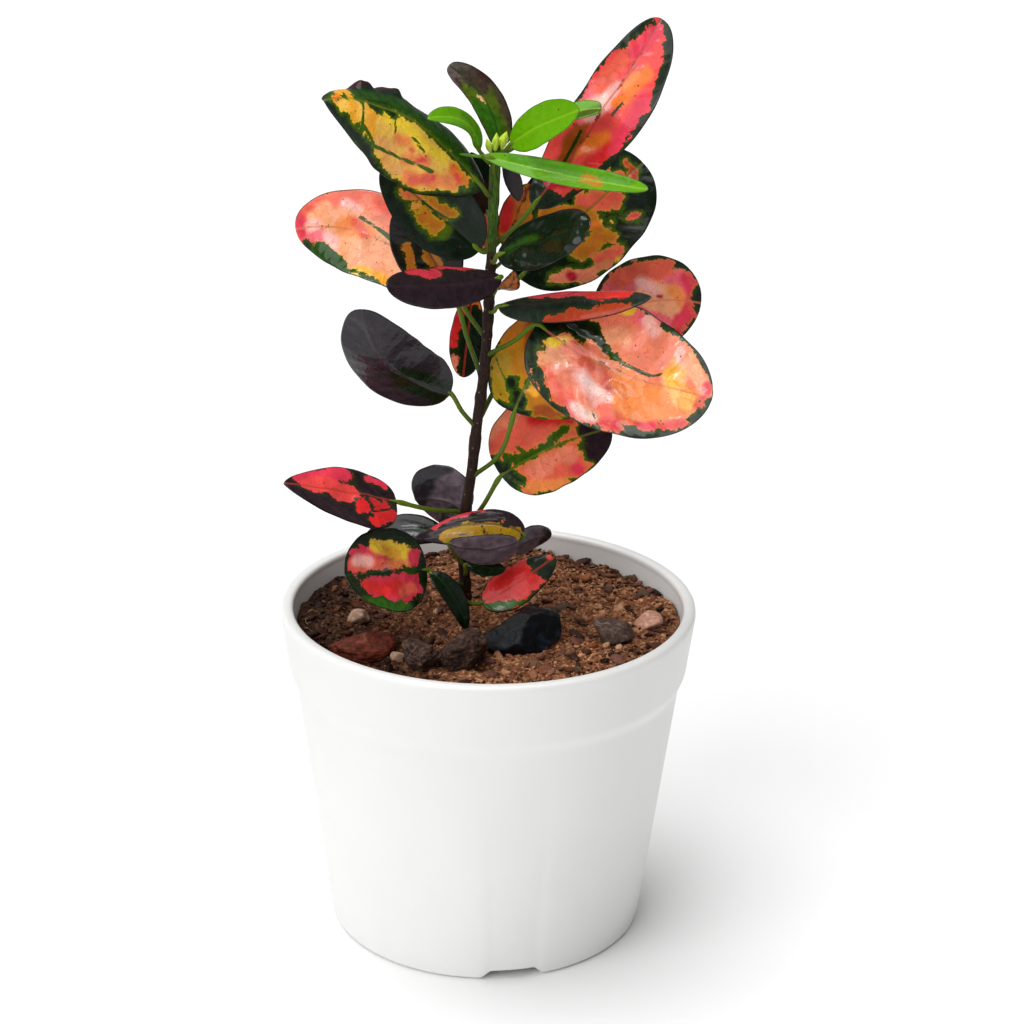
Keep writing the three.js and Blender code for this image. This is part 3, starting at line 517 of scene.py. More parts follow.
STEM_RADIUS, STEM_SIDES, GREEN_FROM, GREEN_BY = 2.1, 28, 244, 264
stem_route = [(-8, 11.5, 62), (-8.2, 10.5, 100), (-8.5, 9, 122), (-9.3, 4, 146), (-8, 1, 162), (-6.3, 0, 174),
              (-4.5, 0, 192), (-2.2, 0, 212), (-0.8, 0, 236), (0.2, 0, 262), (0.8, 0, 282), (1.2, 0, 291)]
leaf_heights = (273, 286, 288, 284, 279, 255, 240, 250, 207, 222, 246, 189.5, 238, 232, 192, 216, 170.5,
                148.5, 157, 143, 122.5, 126, 138, 134, 119.5, 130, 262)
bud_shapes = [((-1.4, -2, 291), (1.1, 1.1, 2.6), -16), ((1, -1, 292), (1.3, 1.3, 3.4), 4),
              ((3.4, 0.6, 292), (1.6, 1.6, 3.8), 20)]


def smooth_route(stops, steps):
    """Points on a smooth curve through the stops, with that many steps from each to the next."""
    stops = [Vector(p) for p in stops]
    stops = [2 * stops[0] - stops[1], *stops, 2 * stops[-1] - stops[-2]]
    route = []
    for a, b, c, d in zip(stops, stops[1:], stops[2:], stops[3:]):
        ka, kb, kc = (b - a).length ** 0.5, (c - b).length ** 0.5, (d - c).length ** 0.5
        leave = ((b - a) / ka - (c - a) / (ka + kb) + (c - b) / kb) * kb
        reach = ((c - b) / kb - (d - b) / (kb + kc) + (d - c) / kc) * kb
        for t in np.arange(steps) / steps:
            route.append(b * (2 * t ** 3 - 3 * t ** 2 + 1) + leave * (t ** 3 - 2 * t ** 2 + t)
                         + c * (3 * t ** 2 - 2 * t ** 3) + reach * (t ** 3 - t ** 2))
    return route + [stops[-2]]


def tube(route, radius_at, sides, first=0):
    """Points and faces of a closed round tube along a route. radius_at takes the share of its length."""
    spine = np.array(route)
    ahead = np.gradient(spine, axis=0)
    ahead /= np.linalg.norm(ahead, axis=1, keepdims=True)
    gone = np.concatenate([[0], np.cumsum(np.linalg.norm(np.diff(spine, axis=0), axis=1))])
    side = np.cross(ahead[0], (0.31, 0.9, 0.3))
    ring_points = []
    for p, along, share in zip(spine, ahead, gone / gone[-1]):
        side = side - along * (side @ along)
        side /= np.linalg.norm(side)
        other = np.cross(along, side)
        for q in np.arange(sides) * 2 * pi / sides:
            ring_points.append(p + radius_at(share, q) * (cos(q) * side + sin(q) * other))
    tube_points = np.vstack([ring_points, spine[:1], spine[-1:]])
    count = len(spine)
    start, stop = first + count * sides, first + count * sides + 1
    rings = [first + k * sides for k in range(count)]
    round_again = [(j, (j + 1) % sides) for j in range(sides)]
    skin = [(k + j, k + after, k + sides + after, k + sides + j)
            for k in rings[:-1] for j, after in round_again]
    skin += [(start, first + after, first + j) for j, after in round_again]
    skin += [(rings[-1] + j, rings[-1] + after, stop) for j, after in round_again]
    return tube_points, skin, gone


stem_line = smooth_route(stem_route, 44)


def stem_radius(share, q):
    """The stem's radius: a slight taper, a knot at each leaf and shallow lengthwise ridges in its bark."""
    height = stem_line[min(len(stem_line) - 1, round(share * (len(stem_line) - 1)))].z
    radius = STEM_RADIUS * (1.08 - 0.34 * share)
    knots = sum(exp(-((height - leaf + 1.2) / 1.5) ** 2) for leaf in leaf_heights)
    ridges = 0.05 * sin(5 * q + height / 6) * (1 - share)
    dents = 0.12 * noise.noise(Vector((cos(q) * 1.5, sin(q) * 1.5, height / 3)))
    return radius + 0.32 * min(1, knots) + ridges + dents


points, faces, _ = tube(stem_line, stem_radius, STEM_SIDES)
ages = [1 - min(1, max(0, (p[2] - GREEN_FROM) / (GREEN_BY - GREEN_FROM))) for p in points]
for at, size, lean in bud_shapes:
    directions, triangles = ball(4)
    upward = directions[:, 2]
    slim = np.where(upward > 0, 1 - 0.75 * upward ** 2, 1 - 0.35 * upward ** 2)
    folds = 1 + 0.08 * np.sin(3 * np.arctan2(directions[:, 1], directions[:, 0]) + 2 * upward)
    shape = directions * np.stack([slim * folds, slim * folds, np.ones_like(slim)], 1) * size
    faces += [(a + len(points), b + len(points), c + len(points)) for a, b, c in triangles]
    points = np.vstack([points, shape @ turned(0, lean, 0).T + at])
    ages += [-1.0] * len(shape)

# Croton stem: dark brown bark with fine cracks and pale pores below, smooth green above, lime buds.
# Attribute age: 1 is old bark, 0 young green stem, -1 the buds.
stem_finish, tree, result = new_finish("croton_bark_to_green_stem")
where = add(tree, "TexCoord").outputs["Object"]
stretched = add(tree, "Mapping", {"Vector": where, "Scale": (1.0, 1.0, 0.3)})
age = add(tree, "Attribute", attribute_name="age")
streaks = add(tree, "TexNoise", {"Vector": stretched, "Scale": 1 / (0.7 * MM), "Detail": 5.0,
                                 "Roughness": 0.65})
blotch = add(tree, "TexNoise", {"Vector": where, "Scale": 1 / (4 * MM), "Detail": 3.0})
lenticels = add(tree, "TexVoronoi", {"Vector": where, "Scale": 1 / (2.3 * MM)})
dots = add(tree, "MapRange", {"Value": lenticels.outputs["Distance"], "From Min": 0.16, "From Max": 0.1},
           interpolation_type="SMOOTHSTEP")
spread = add(tree, "MapRange", {"Value": streaks.outputs["Fac"], "From Min": 0.35, "From Max": 0.68})
bark = add(tree, "Mix", {"Factor": spread, "A": linear("#150c0a"), "B": linear("#3a241c")}, data_type="RGBA")
bark = add(tree, "Mix", {"Factor": dots, "A": bark, "B": linear("#7a6257")}, data_type="RGBA")
green = add(tree, "Mix", {"Factor": spread, "A": linear("#203808"), "B": linear("#4c7012")}, data_type="RGBA")
aged = add(tree, "Math", {0: blotch.outputs["Fac"], 1: 0.7, 2: age.outputs["Fac"]}, operation="MULTIPLY_ADD")
aged = add(tree, "MapRange", {"Value": aged, "From Min": 0.65, "From Max": 1.0},
           interpolation_type="SMOOTHSTEP")
skin = add(tree, "Mix", {"Factor": aged, "A": green, "B": bark}, data_type="RGBA")
bud = add(tree, "MapRange", {"Value": age.outputs["Fac"], "From Min": -0.3, "From Max": -0.7})
budding = add(tree, "Mix", {"Factor": spread, "A": linear("#a4d418"), "B": linear("#eef66a")},
              data_type="RGBA")
skin = add(tree, "Mix", {"Factor": bud, "A": skin, "B": budding}, data_type="RGBA")
rough = add(tree, "MapRange", {"Value": age.outputs["Fac"], "To Min": 0.35, "To Max": 0.62})
bump = add(tree, "Bump", {"Height": streaks.outputs["Fac"], "Distance": 0.12 * MM, "Strength": 0.8})
shader = add(tree, "BsdfPrincipled", {"Base Color": skin, "Roughness": rough, "IOR": 1.45,
                                      "Specular IOR Level": 0.2, "Normal": bump})
tree.links.new(shader.outputs[0], result.inputs[0])
stem = make_piece("woody_stem_and_buds", points, faces, [stem_finish])
paint(stem, "age", "FLOAT", ages)
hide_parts("stem")


# Leaves
# Thick waxy croton leaves, each with its stalk: green or near black where there is chlorophyll,
# yellow, coral and red where there is none, the two meeting along the small veins.

LEAF_THICKNESS, VEIN_SPACING, VEIN_LEAN, FIELD_WIDTH = 0.5, 5.2, 0.55, 3.9
# A dark stroke narrower than this on each side is drawn as one of the thin green threads
THREAD_REACH = 0.75
STALK_RADIUS, STALK_SIDES, STALK_SIDE_WIDTH = 0.85, 12, 0.45
# The mesh of a blade: the length of its cells along the rib and their width across it, in mm
ROW_STEP, COLUMN_STEP = 0.72, 1.35
FIELD_PUFF, RIB_RIDGE = 0.13, 0.62
# The share of the blade that its stalk runs in under
STALK_RUN_IN = 0.08
# How deep inside the chlorophyll a blade counts that is dark all over, or has no thread yet, in mm
ALL_DARK, NO_THREAD = 9.0, -3.0
# The patterns that fray a border push it this far on average, in mm, so it is drawn back by as much
MEAN_PUSH = 4.95
# A leaf's pattern is laid out flat, each leaf on its own stretch and with its rib at one height
FLAT_STRETCH, FLAT_RIB = 120, 60

# Leaf pigments. The dark ones hold chlorophyll, and the warm ones lie where it is missing. The palest
# pink is a painted highlight and the pale pink partly one, and the last two warm ones add painted shade
# to the colours of the leaves they lie on.
pigments = {
    "bottle": "#081a07", "pine": "#1a261c", "fern": "#20480a", "moss": "#4a5c0c", "lime": "#619f08",
    "grass": "#2d6206", "sap": "#4f8f08", "plum": "#281a20", "aubergine": "#291c24", "maroon": "#3a1a18",
    "rust": "#5a3412", "soot": "#0f0b09", "slate": "#241f25", "mauve": "#5f5159", "drab": "#3d3124",
    "tawny": "#b87812", "mustard": "#b08c18", "lemon": "#ffd93e", "sun": "#ffca58", "gold": "#ffb236",
    "amber": "#b9701c", "apricot": "#ffb866", "orange": "#f0782a", "tangerine": "#fb9250",
    "peach": "#fba97c", "salmon": "#f68869", "coral": "#f2664f", "pink": "#f36a76", "blush_pink_and_painted_highlight": "#fcb6ac",
    "painted_highlight_pink": "#fcd6cc", "flush": "#ee4a48", "ember": "#d05c46", "rose": "#e33852", "scarlet": "#e0282a",
    "crimson": "#bd1432", "brick": "#96261a", "red_brown_in_painted_shade": "#a8361a", "brown_orange_painted_shade": "#94470f",
}
dark_pigments = ("bottle", "pine", "fern", "moss", "lime", "grass", "sap", "plum", "aubergine", "maroon",
                 "rust", "soot", "slate", "mauve", "drab", "tawny")

# Each leaf: its finish, its rib from base to tip, then its width, the way its face looks, cup in
# degrees, the fullness of its two ends (neck and nose), and the height it leaves the stem at. warm and
# dark are its main pigments, and marks are strokes of pigment along the blade: from (along, across) to
# (along, across), and half their width. margin is the width of its dark border, one for both halves or
# one for each (none: dark all over), rib and foot say how far it is dark beside the rib and from the
# base, and dark_side which half is dark. lop widens one half, wave and waves ruffle the edge, twist
# turns the blade in degrees, bulges puff it up (along, across, reach, rise), creases fold it (from,
# to, breadth, rise), and crimp crumples one edge (from, to, side, rise). skin is the finish of the
# upper side where it is another one, and knee shifts the bend of the stalk.
leaves = [
    dict(name="crown_left", finish="amber", base=(-3, -5, 277), mid=(-30, -18, 304.5),
         tip=(-54.5, -34, 312.5), width=39.5, faces=(-0.1, -0.62, 0.78), cup=-68, neck=0.5, nose=0.62,
         lop=0.12, wave=0.25, waves=3, height=273, crimp=(0.38, 0.8, -1, 4.6), warm="sun", dark="pine",
         margin=(3, 3), rib=1.2, foot=5, dark_side=-1,
         marks=[("fern", 0.15, -0.3, 0.75, -0.3, 3), ("maroon", 0.42, -0.95, 0.76, -0.9, 3),
                ("lemon", 0.6, 0.15, 0.4, 0.2, 2), ("lemon", 0.43, 0.3, 0.22, 0.2, 1.4),
                ("gold", 0.7, 0.2, 0.72, 0.75, 2.4), ("gold", 0.82, -0.5, 0.84, 0.6, 1.5),
                ("gold", 0.88, -0.3, 0.8, -0.75, 1.6), ("orange", 0.95, 0.1, 0.9, -0.1, 1.3),
                ("apricot", 0.63, 0.65, 0.5, 0.6, 2.1), ("tangerine", 0.5, 0.4, 0.44, 0.35, 1.5),
                ("apricot", 0.51, 0.8, 0.37, 0.8, 1.8), ("tangerine", 0.4, 0.6, 0.29, 0.4, 1.6),
                ("tangerine", 0.31, 0.82, 0.13, 0.5, 2.3), ("coral", 0.28, 0.8, 0.22, 0.66, 1.3),
                ("orange", 0.14, 0.2, 0.07, 0.3, 1.6), ("flush", 0.4, 0.4, 0.38, 0.4, 0.6),
                ("flush", 0.33, 0.5, 0.3, 0.42, 0.7), ("flush", 0.2, 0.55, 0.19, 0.6, 0.5),
                ("flush", 0.12, 0.3, 0.09, 0.4, 0.7), ("fern", 0.74, -0.2, 0.78, 0.55, 0.6),
                ("fern", 0.78, 0.55, 0.66, 0.75, 0.55), ("fern", 0.66, 0.75, 0.42, 0.62, 0.5),
                ("fern", 0.42, 0.62, 0.22, 0.5, 0.5), ("fern", 0.42, 0.25, 0.3, 0.35, 0.4),
                ("fern", 0.55, 0.1, 0.52, 0.35, 0.4), ("bottle", 0.68, 0.02, 0.56, 0.08, 2.4),
                ("pine", 1, 0.3, 0.93, 0.9, 2.2), ("pine", 0.93, 0.9, 0.6, 1, 3)]),
    dict(name="crown_spear", finish="forest", base=(1.5, 3, 290), mid=(-2.5, 9, 303.5),
         tip=(-15.5, 16, 314.5), width=13, faces=(0.5, -0.8, 0.1), cup=30, neck=0.3, nose=0.4, height=286,
         warm="blush_pink_and_painted_highlight", dark="moss",
         marks=[("drab", 0.95, -0.4, 0.66, -0.3, 3), ("maroon", 0.75, -0.9, 0.5, -1, 1),
                ("drab", 0.2, -0.9, 0.6, -0.9, 1.2), ("maroon", 0.8, 0.9, 0.95, 0.6, 1.2),
                ("grass", 0.1, 0.3, 0.5, 0.5, 3), ("blush_pink_and_painted_highlight", 0.64, 0.2, 0.51, 0.1, 0.5)]),
    dict(name="young_left", finish="lime", base=(-4.5, -3, 289.5), mid=(-10, -10, 301),
         tip=(-21.5, -18, 303.5), width=10, faces=(0, -0.6, 0.8), cup=15, neck=0.7, nose=0.6, height=286,
         warm="lemon", dark="lime",
         marks=[("sap", 0.1, -0.4, 0.45, -0.7, 1.6), ("sap", 0.5, 0.9, 0.8, 0.9, 0.9)]),
    dict(name="young_right", finish="lime", base=(6, -4, 292), mid=(16.5, -12, 300.5), tip=(28.5, -20, 307.5),
         width=15, faces=(0.1, -0.8, 0.6), cup=15, neck=0.55, nose=0.55, height=288, warm="lemon",
         dark="lime"),
    dict(name="young_far", finish="lime", base=(9, 2, 291), mid=(23.5, 4, 300), tip=(36.5, 3, 303),
         width=10.5, faces=(0, -0.4, 0.9), cup=10, neck=0.5, nose=0.3, height=288, warm="orange", dark="lime",
         marks=[("moss", 0.5, -1, 1, -0.6, 1.6), ("tawny", 0.62, -0.3, 0.66, 0.1, 0.8)]),
    dict(name="young_strap", finish="lime", base=(-3, -10, 289.4), mid=(26.5, -20, 285), tip=(51, -36, 285),
         width=10, faces=(0.2, -0.7, 0.7), cup=25, neck=0.5, nose=0.5, height=284, warm="lemon", dark="lime",
         marks=[("sap", 0.15, 0.5, 0.85, 0.5, 1.8), ("sap", 0.45, 0.3, 0.7, 0, 1),
                ("tawny", 0.58, 0.1, 0.68, -0.3, 1.3)]),
    dict(name="young_chip", finish="lime", base=(0, -5, 288), mid=(-5, -9, 289), tip=(-11, -12, 290.5),
         width=5, faces=(0, 0, 1), cup=10, neck=0.7, nose=0.7, height=279, warm="lemon", dark="lime"),
    # crown_flame: its pale and palest pink strokes in the middle of the blade are a painted highlight, and
    # its brown-orange stroke near the base is painted shadow.
    dict(name="crown_flame", finish="flame", base=(14, 5, 268.5), mid=(36.5, 14, 298), tip=(57, 24, 330),
         width=27, faces=(-0.35, -0.85, 0.35), cup=20, neck=0.5, nose=0.48, lop=-0.2, wave=0.7, waves=3,
         twist=15, bulges=((0.55, 0.2, 10, 1.6), (0.3, -0.4, 7, 1.2)), height=255, warm="flush", dark="pine",
         margin=(0.8, 3.2), rib=0, foot=9,
         marks=[("crimson", 0.13, 0.2, 0.2, -0.4, 2.6), ("scarlet", 0.2, -0.7, 0.4, -0.6, 2.6),
                ("flush", 0.22, 0.75, 0.42, 0.5, 3), ("orange", 0.3, 0.1, 0.42, -0.3, 2.6),
                ("brown_orange_painted_shade", 0.22, 0.1, 0.42, 0.35, 2.4), ("bottle", 0.22, 0.1, 0.4, 0.25, 0.5),
                ("rose", 0.42, -0.75, 0.66, -0.7, 2.4), ("pink", 0.46, 0.6, 0.6, 0.5, 3),
                ("blush_pink_and_painted_highlight", 0.5, 0.3, 0.62, 0.1, 3), ("painted_highlight_pink", 0.53, 0.25, 0.58, 0.15, 1.1),
                ("coral", 0.6, 0.6, 0.8, 0.4, 2), ("orange", 0.6, -0.2, 0.76, -0.4, 2.2),
                ("tangerine", 0.66, -0.1, 0.74, -0.2, 1), ("rose", 0.82, 0.2, 0.95, -0.2, 2.2),
                ("bottle", 0.53, -0.25, 0.6, -0.3, 0.5), ("pine", 0.97, 0.9, 0.82, 0.9, 2)]),
    dict(name="right_round", finish="amber", base=(9.5, 10, 241.5), mid=(31.5, 24, 260.5), tip=(53, 40, 276),
         width=43, faces=(-0.15, -0.93, 0.3), cup=15, neck=0.45, nose=0.5, wave=0.4, waves=2.5, height=240,
         warm="salmon", dark="bottle",
         marks=[("pine", 0.75, -0.6, 0.95, 0.5, 5), ("pine", 0.45, -1, 0.75, -0.8, 2.6),
                ("crimson", 0.92, 0.3, 0.92, 0, 1.4), ("crimson", 0.9, 0, 0.86, -0.3, 1.6),
                ("coral", 0.76, 0.3, 0.83, 0, 2.6), ("coral", 0.56, 0.15, 0.7, -0.15, 4),
                ("amber", 0.42, 0.25, 0.5, -0.1, 4.2), ("lemon", 0.56, -0.3, 0.55, -0.3, 0.6),
                ("lemon", 0.57, -0.4, 0.6, -0.4, 0.6), ("orange", 0.51, -0.3, 0.51, -0.6, 2.1),
                ("amber", 0.34, -0.45, 0.5, -0.5, 3.4), ("rose", 0.69, -0.62, 0.72, -0.7, 1.7),
                ("coral", 0.37, -0.75, 0.5, -0.82, 2.8), ("salmon", 0.33, -0.85, 0.38, -0.9, 1.6),
                ("lemon", 0.45, -0.95, 0.43, -1, 0.6), ("salmon", 0.15, -0.6, 0.27, -0.95, 2.9),
                ("crimson", 0.2, -0.7, 0.19, -0.8, 1.1), ("amber", 0.2, 0.3, 0.4, 0.5, 2.6),
                ("coral", 0.5, 0.6, 0.7, 0.5, 2)]),
    dict(name="right_gloss", finish="forest", skin="gloss", base=(2, -8, 254.5), mid=(17.5, -20, 264),
         tip=(32.5, -32, 271.5), width=21, faces=(0.1, -0.75, 0.65), cup=-15, neck=0.5, nose=0.5, height=250,
         warm="moss", dark="bottle",
         bulges=((0.25, -0.45, 5, 1.2), (0.45, 0.3, 8, -0.8), (0.82, -0.45, 5, 1.2), (0.85, 0.4, 5, 1)),
         marks=[("fern", 0.12, 0.1, 0.4, 0.1, 1.2)]),
    # left_pink: its pale pink strokes are partly real pale pink and partly a painted highlight.
    dict(name="left_pink", finish="coral", base=(-13, 12, 233.5), mid=(-41, 24, 251.5), tip=(-70.5, 36, 251),
         width=31, faces=(0.1, -0.95, 0.3), cup=12, neck=0.5, nose=0.5, height=207,
         bulges=((0.75, -0.3, 9, 1), (0.6, 0.4, 8, 1)), warm="peach", dark="pine", margin=0.4, rib=0, foot=3,
         marks=[("coral", 0.92, -0.6, 0.84, -0.8, 3.8), ("coral", 0.79, -0.8, 0.58, -0.9, 2.6),
                ("rose", 0.97, -0.2, 0.92, 0.6, 3.4), ("pink", 0.9, 0.1, 0.84, 0.3, 2.6),
                ("peach", 0.89, -0.4, 0.81, -0.6, 1.6), ("blush_pink_and_painted_highlight", 0.71, -0.65, 0.64, -0.5, 1.1),
                ("blush_pink_and_painted_highlight", 0.91, 0, 0.86, -0.1, 1.4), ("blush_pink_and_painted_highlight", 0.8, 0.25, 0.74, 0.5, 1.8),
                ("tangerine", 0.7, -0.1, 0.55, 0, 3), ("coral", 0.64, -0.2, 0.56, 0.1, 1.2),
                ("peach", 0.64, 0.5, 0.4, 0.3, 4), ("gold", 0.5, 0.85, 0.3, 0.85, 1.6),
                ("lemon", 0.55, 0.9, 0.42, 0.95, 1), ("salmon", 0.6, -0.7, 0.46, -0.4, 2.5),
                ("coral", 0.55, -0.8, 0.4, -0.6, 2), ("fern", 0.62, -0.34, 0.51, -0.2, 0.6),
                ("fern", 0.51, -0.2, 0.3, 0.02, 0.74), ("pine", 0.93, 0.98, 0.83, 0.95, 2.8),
                ("fern", 0.86, 0.85, 0.66, 0.92, 3.6), ("fern", 0.66, 0.95, 0.3, 1, 0.8)]),
    dict(name="left_dusk", finish="forest", base=(-4, -2, 254.5), mid=(-20.5, -4, 269.5),
         tip=(-37.5, -6, 284), width=26, faces=(-0.2, -0.8, 0.5), cup=15, neck=0.5, nose=0.6, height=255,
         warm="amber", dark="pine",
         marks=[("bottle", 0, 0, 0.25, 0, 7), ("coral", 0.75, 0.2, 0.61, 0, 1.6),
                ("tangerine", 0.63, 0.3, 0.52, 0, 1.4), ("amber", 0.54, -0.1, 0.37, -0.2, 2.5),
                ("amber", 0.52, 0.3, 0.37, 0.3, 3), ("moss", 0.32, 0.4, 0.3, 0.1, 1.2),
                ("bottle", 0.6, 0, 0.49, 0, 0.3), ("bottle", 0.49, 0, 0.32, -0.1, 0.3)]),
    dict(name="left_tobacco", finish="plum", base=(-13, 6, 238), mid=(-22.5, 4, 253.5), tip=(-30, 3, 270.5),
         width=23, faces=(0.1, -0.95, 0.2), cup=10, neck=0.6, nose=0.55, height=222, warm="amber",
         dark="soot",
         marks=[("bottle", 0.3, -0.2, 0.6, -0.2, 2.5), ("amber", 0.4, 0.75, 0.62, 0.5, 1.8),
                ("amber", 0.46, 0, 0.3, 0, 2.4)]),
    dict(name="left_plum", finish="plum", base=(3.5, -8, 247), mid=(-14, -20, 247.5), tip=(-34.5, -34, 250.5),
         width=17, faces=(0, -0.75, 0.65), cup=-25, neck=0.6, nose=0.5, height=246, warm="crimson",
         dark="aubergine",
         marks=[("rose", 0.76, -0.75, 0.56, -0.62, 2.1), ("rose", 0.5, -0.9, 0.2, -0.9, 0.8)]),
    dict(name="left_slate", finish="slate", base=(-14, -4, 203.5), mid=(-34.5, -14, 216.5),
         tip=(-43.5, -22, 239), width=29.5, faces=(0.2, 0.9, 0.2), cup=20, neck=0.4, nose=0.5, height=189.5,
         warm="amber", dark="slate", bulges=((0.5, 0.5, 9, 0.7), (0.8, -0.4, 8, 0.6)),
         marks=[("bottle", 0.05, 0, 0.35, 0, 5)]),
    dict(name="back_red", finish="flame", base=(-6.5, 14, 236), mid=(-8.5, 18, 217), tip=(-10, 17, 202.5),
         width=13, faces=(-0.3, -0.95, 0.1), cup=10, neck=0.6, nose=0.55, height=238, warm="scarlet",
         dark="bottle",
         marks=[("scarlet", 0.1, -0.9, 0.62, -0.9, 2), ("salmon", 0.73, -0.8, 0.94, -1, 1.2),
                ("orange", 0.06, -0.6, 0.1, 0.9, 2)]),
    # right_boat: its deep red-brown stroke on the hanging near half is the leaf's red darkened with painted
    # shade.
    dict(name="right_boat", finish="plum", base=(2.5, -8, 236.5), mid=(28.5, -22, 243),
         tip=(53.5, -36, 248.5), width=17, faces=(0, -0.5, 0.87), cup=-38, neck=0.55, nose=0.7, height=232,
         warm="scarlet", dark="pine",
         marks=[("pine", 0.08, 0, 0.3, -0.2, 2.5), ("rose", 0.22, 0.8, 0.52, 0.5, 3),
                ("scarlet", 0.6, 0.5, 0.8, 0.45, 3.6), ("red_brown_in_painted_shade", 0.36, -0.95, 0.85, -0.9, 2.4)]),
    dict(name="right_coral", finish="coral", base=(38, 20, 223), mid=(56.5, 30, 227.5), tip=(75.5, 38, 225),
         width=33.5, faces=(0.08, -0.88, 0.42), cup=10, neck=0.5, nose=0.5, knee=(-8, 4, 4), height=192,
         bulges=((0.6, 0.1, 9, 1),), warm="pink", dark="pine", margin=(2.2, 3.4), rib=0, foot=4,
         marks=[("coral", 0.3, 0.75, 0.66, 0.72, 3.4), ("peach", 0.5, 0.1, 0.74, -0.1, 5),
                ("tangerine", 0.75, 0.2, 0.82, 0, 2.6), ("blush_pink_and_painted_highlight", 0.45, 0.45, 0.56, 0.2, 1.7),
                ("rose", 0.86, 0.6, 0.97, 0, 2.6), ("rose", 0.93, -0.3, 0.75, -0.7, 3),
                ("crimson", 0.72, -0.8, 0.6, -0.85, 1.6), ("pine", 0.97, 0.6, 0.99, -0.4, 3),
                ("crimson", 0.56, 0.1, 0.6, 0.08, 0.5)]),
    # front_great: its palest pink strokes and the pale pink ones beside them are painted highlights.
    dict(name="front_great", finish="coral", base=(16, -12, 231.5), mid=(43.5, -28, 220),
         tip=(74.5, -42, 216), width=45, faces=(-0.1, -0.85, 0.5), cup=14, neck=0.45, nose=0.5, wave=0.8,
         waves=2, height=216,
         bulges=((0.52, 0.5, 13, 2.6), (0.3, -0.5, 9, 1.2), (0.55, -0.45, 8, 1.1), (0.8, -0.1, 10, 1.4)),
         creases=((0.33, -0.1, 0.42, -0.6, 1.5, 0.7), (0.42, -0.6, 0.52, -0.92, 1.2, 0.6),
                  (0.5, -0.2, 0.68, -0.7, 0.9, 0.4), (0.72, 0.1, 0.8, 0.7, 1.2, 0.7),
                  (0.8, 0.7, 0.92, 0.4, 0.9, 0.4), (0.1, 0.35, 0.4, 0.2, 1.6, -0.9),
                  (0.4, 0.2, 0.7, 0.14, 1.3, -0.8), (0.7, 0.14, 0.76, 0.5, 1.2, -0.5)),
         warm="salmon", dark="pine", margin=(1.8, 3.6), rib=0, foot=6,
         marks=[("peach", 0.12, -0.55, 0.2, -0.2, 3.2), ("moss", 0.05, -0.75, 0.1, -0.4, 0.9),
                ("lemon", 0.1, -0.2, 0.2, 0.1, 1.3), ("salmon", 0.22, 0, 0.31, 0, 3.2),
                ("coral", 0.18, -0.8, 0.34, -0.8, 3.2), ("ember", 0.25, 0.1, 0.34, -0.12, 2.4),
                ("ember", 0.42, -0.05, 0.5, -0.35, 1.6), ("pine", 0.02, -0.9, 0.26, -0.98, 1.5),
                ("pine", 0.4, -1.04, 0.9, -1.02, 3.2), ("pine", 0.9, -0.9, 0.99, -0.1, 1.8),
                ("blush_pink_and_painted_highlight", 0.34, -0.3, 0.48, -0.55, 1.8), ("painted_highlight_pink", 0.36, -0.34, 0.53, -0.47, 1.1),
                ("painted_highlight_pink", 0.4, -0.84, 0.46, -0.9, 1.2), ("painted_highlight_pink", 0.54, -0.48, 0.62, -0.85, 0.9),
                ("painted_highlight_pink", 0.52, -0.2, 0.74, -0.66, 0.8), ("blush_pink_and_painted_highlight", 0.78, 0.7, 0.9, 0.45, 1.2),
                ("painted_highlight_pink", 0.76, 0.58, 0.82, 0.34, 1), ("pink", 0.38, -0.85, 0.46, -0.85, 2),
                ("salmon", 0.36, 0.4, 0.66, 0.5, 6), ("peach", 0.36, 0.45, 0.46, 0.5, 3),
                ("tangerine", 0.55, -0.1, 0.7, -0.3, 4), ("coral", 0.55, -0.7, 0.75, -0.65, 3),
                ("rose", 0.5, -0.88, 0.62, -0.88, 1.6), ("rose", 0.71, -0.8, 0.89, -0.8, 1.6),
                ("tangerine", 0.62, -0.45, 0.88, -0.2, 5), ("apricot", 0.78, 0.3, 0.86, -0.2, 3.4),
                ("gold", 0.77, 0.3, 0.8, 0.1, 1.6), ("peach", 0.84, 0.7, 0.93, 0.4, 2),
                ("rose", 0.95, -0.4, 0.97, 0.5, 1.2), ("pink", 0.45, 0.9, 0.6, 0.92, 2),
                ("blush_pink_and_painted_highlight", 0.55, 0.9, 0.62, 0.8, 1.6), ("lemon", 0.36, 0.92, 0.42, 0.92, 1.4),
                ("bottle", 0.01, -0.3, 0.1, 0.35, 4), ("bottle", 0.1, 0.4, 0.28, 0.38, 3.6),
                ("bottle", 0.26, 0.4, 0.4, 0.22, 1.3), ("fern", 0.4, 0.22, 0.52, 0.14, 0.8),
                ("fern", 0.52, 0.14, 0.66, 0.12, 0.5), ("fern", 0.66, 0.12, 0.72, 0.2, 0.35),
                ("fern", 0.2, 0.8, 0.33, 0.88, 1.2), ("painted_highlight_pink", 0.4, -0.78, 0.5, -0.84, 1.3)]),
    # right_amber: its tawny ground and its brown-orange and mustard strokes are painted shade, darker than
    # the leaf's own orange and yellow.
    dict(name="right_amber", finish="amber", base=(8.5, 0, 195.5), mid=(19, 3, 215.5), tip=(38, 8, 232.5),
         width=40, faces=(-0.1, -0.95, 0.2), cup=12, neck=0.4, nose=0.5, lop=-0.2, knee=(2, -4, -3),
         height=170.5, warm="tawny", dark="bottle", margin=1.3, rib=0.8, foot=3,
         marks=[("amber", 0.47, 0.95, 0.62, 0.85, 3.6), ("brown_orange_painted_shade", 0.6, 0.3, 0.85, 0, 7),
                ("mustard", 0.29, 0.8, 0.12, 0.5, 3), ("bottle", 0.3, 0.9, 0.17, 0.4, 0.2),
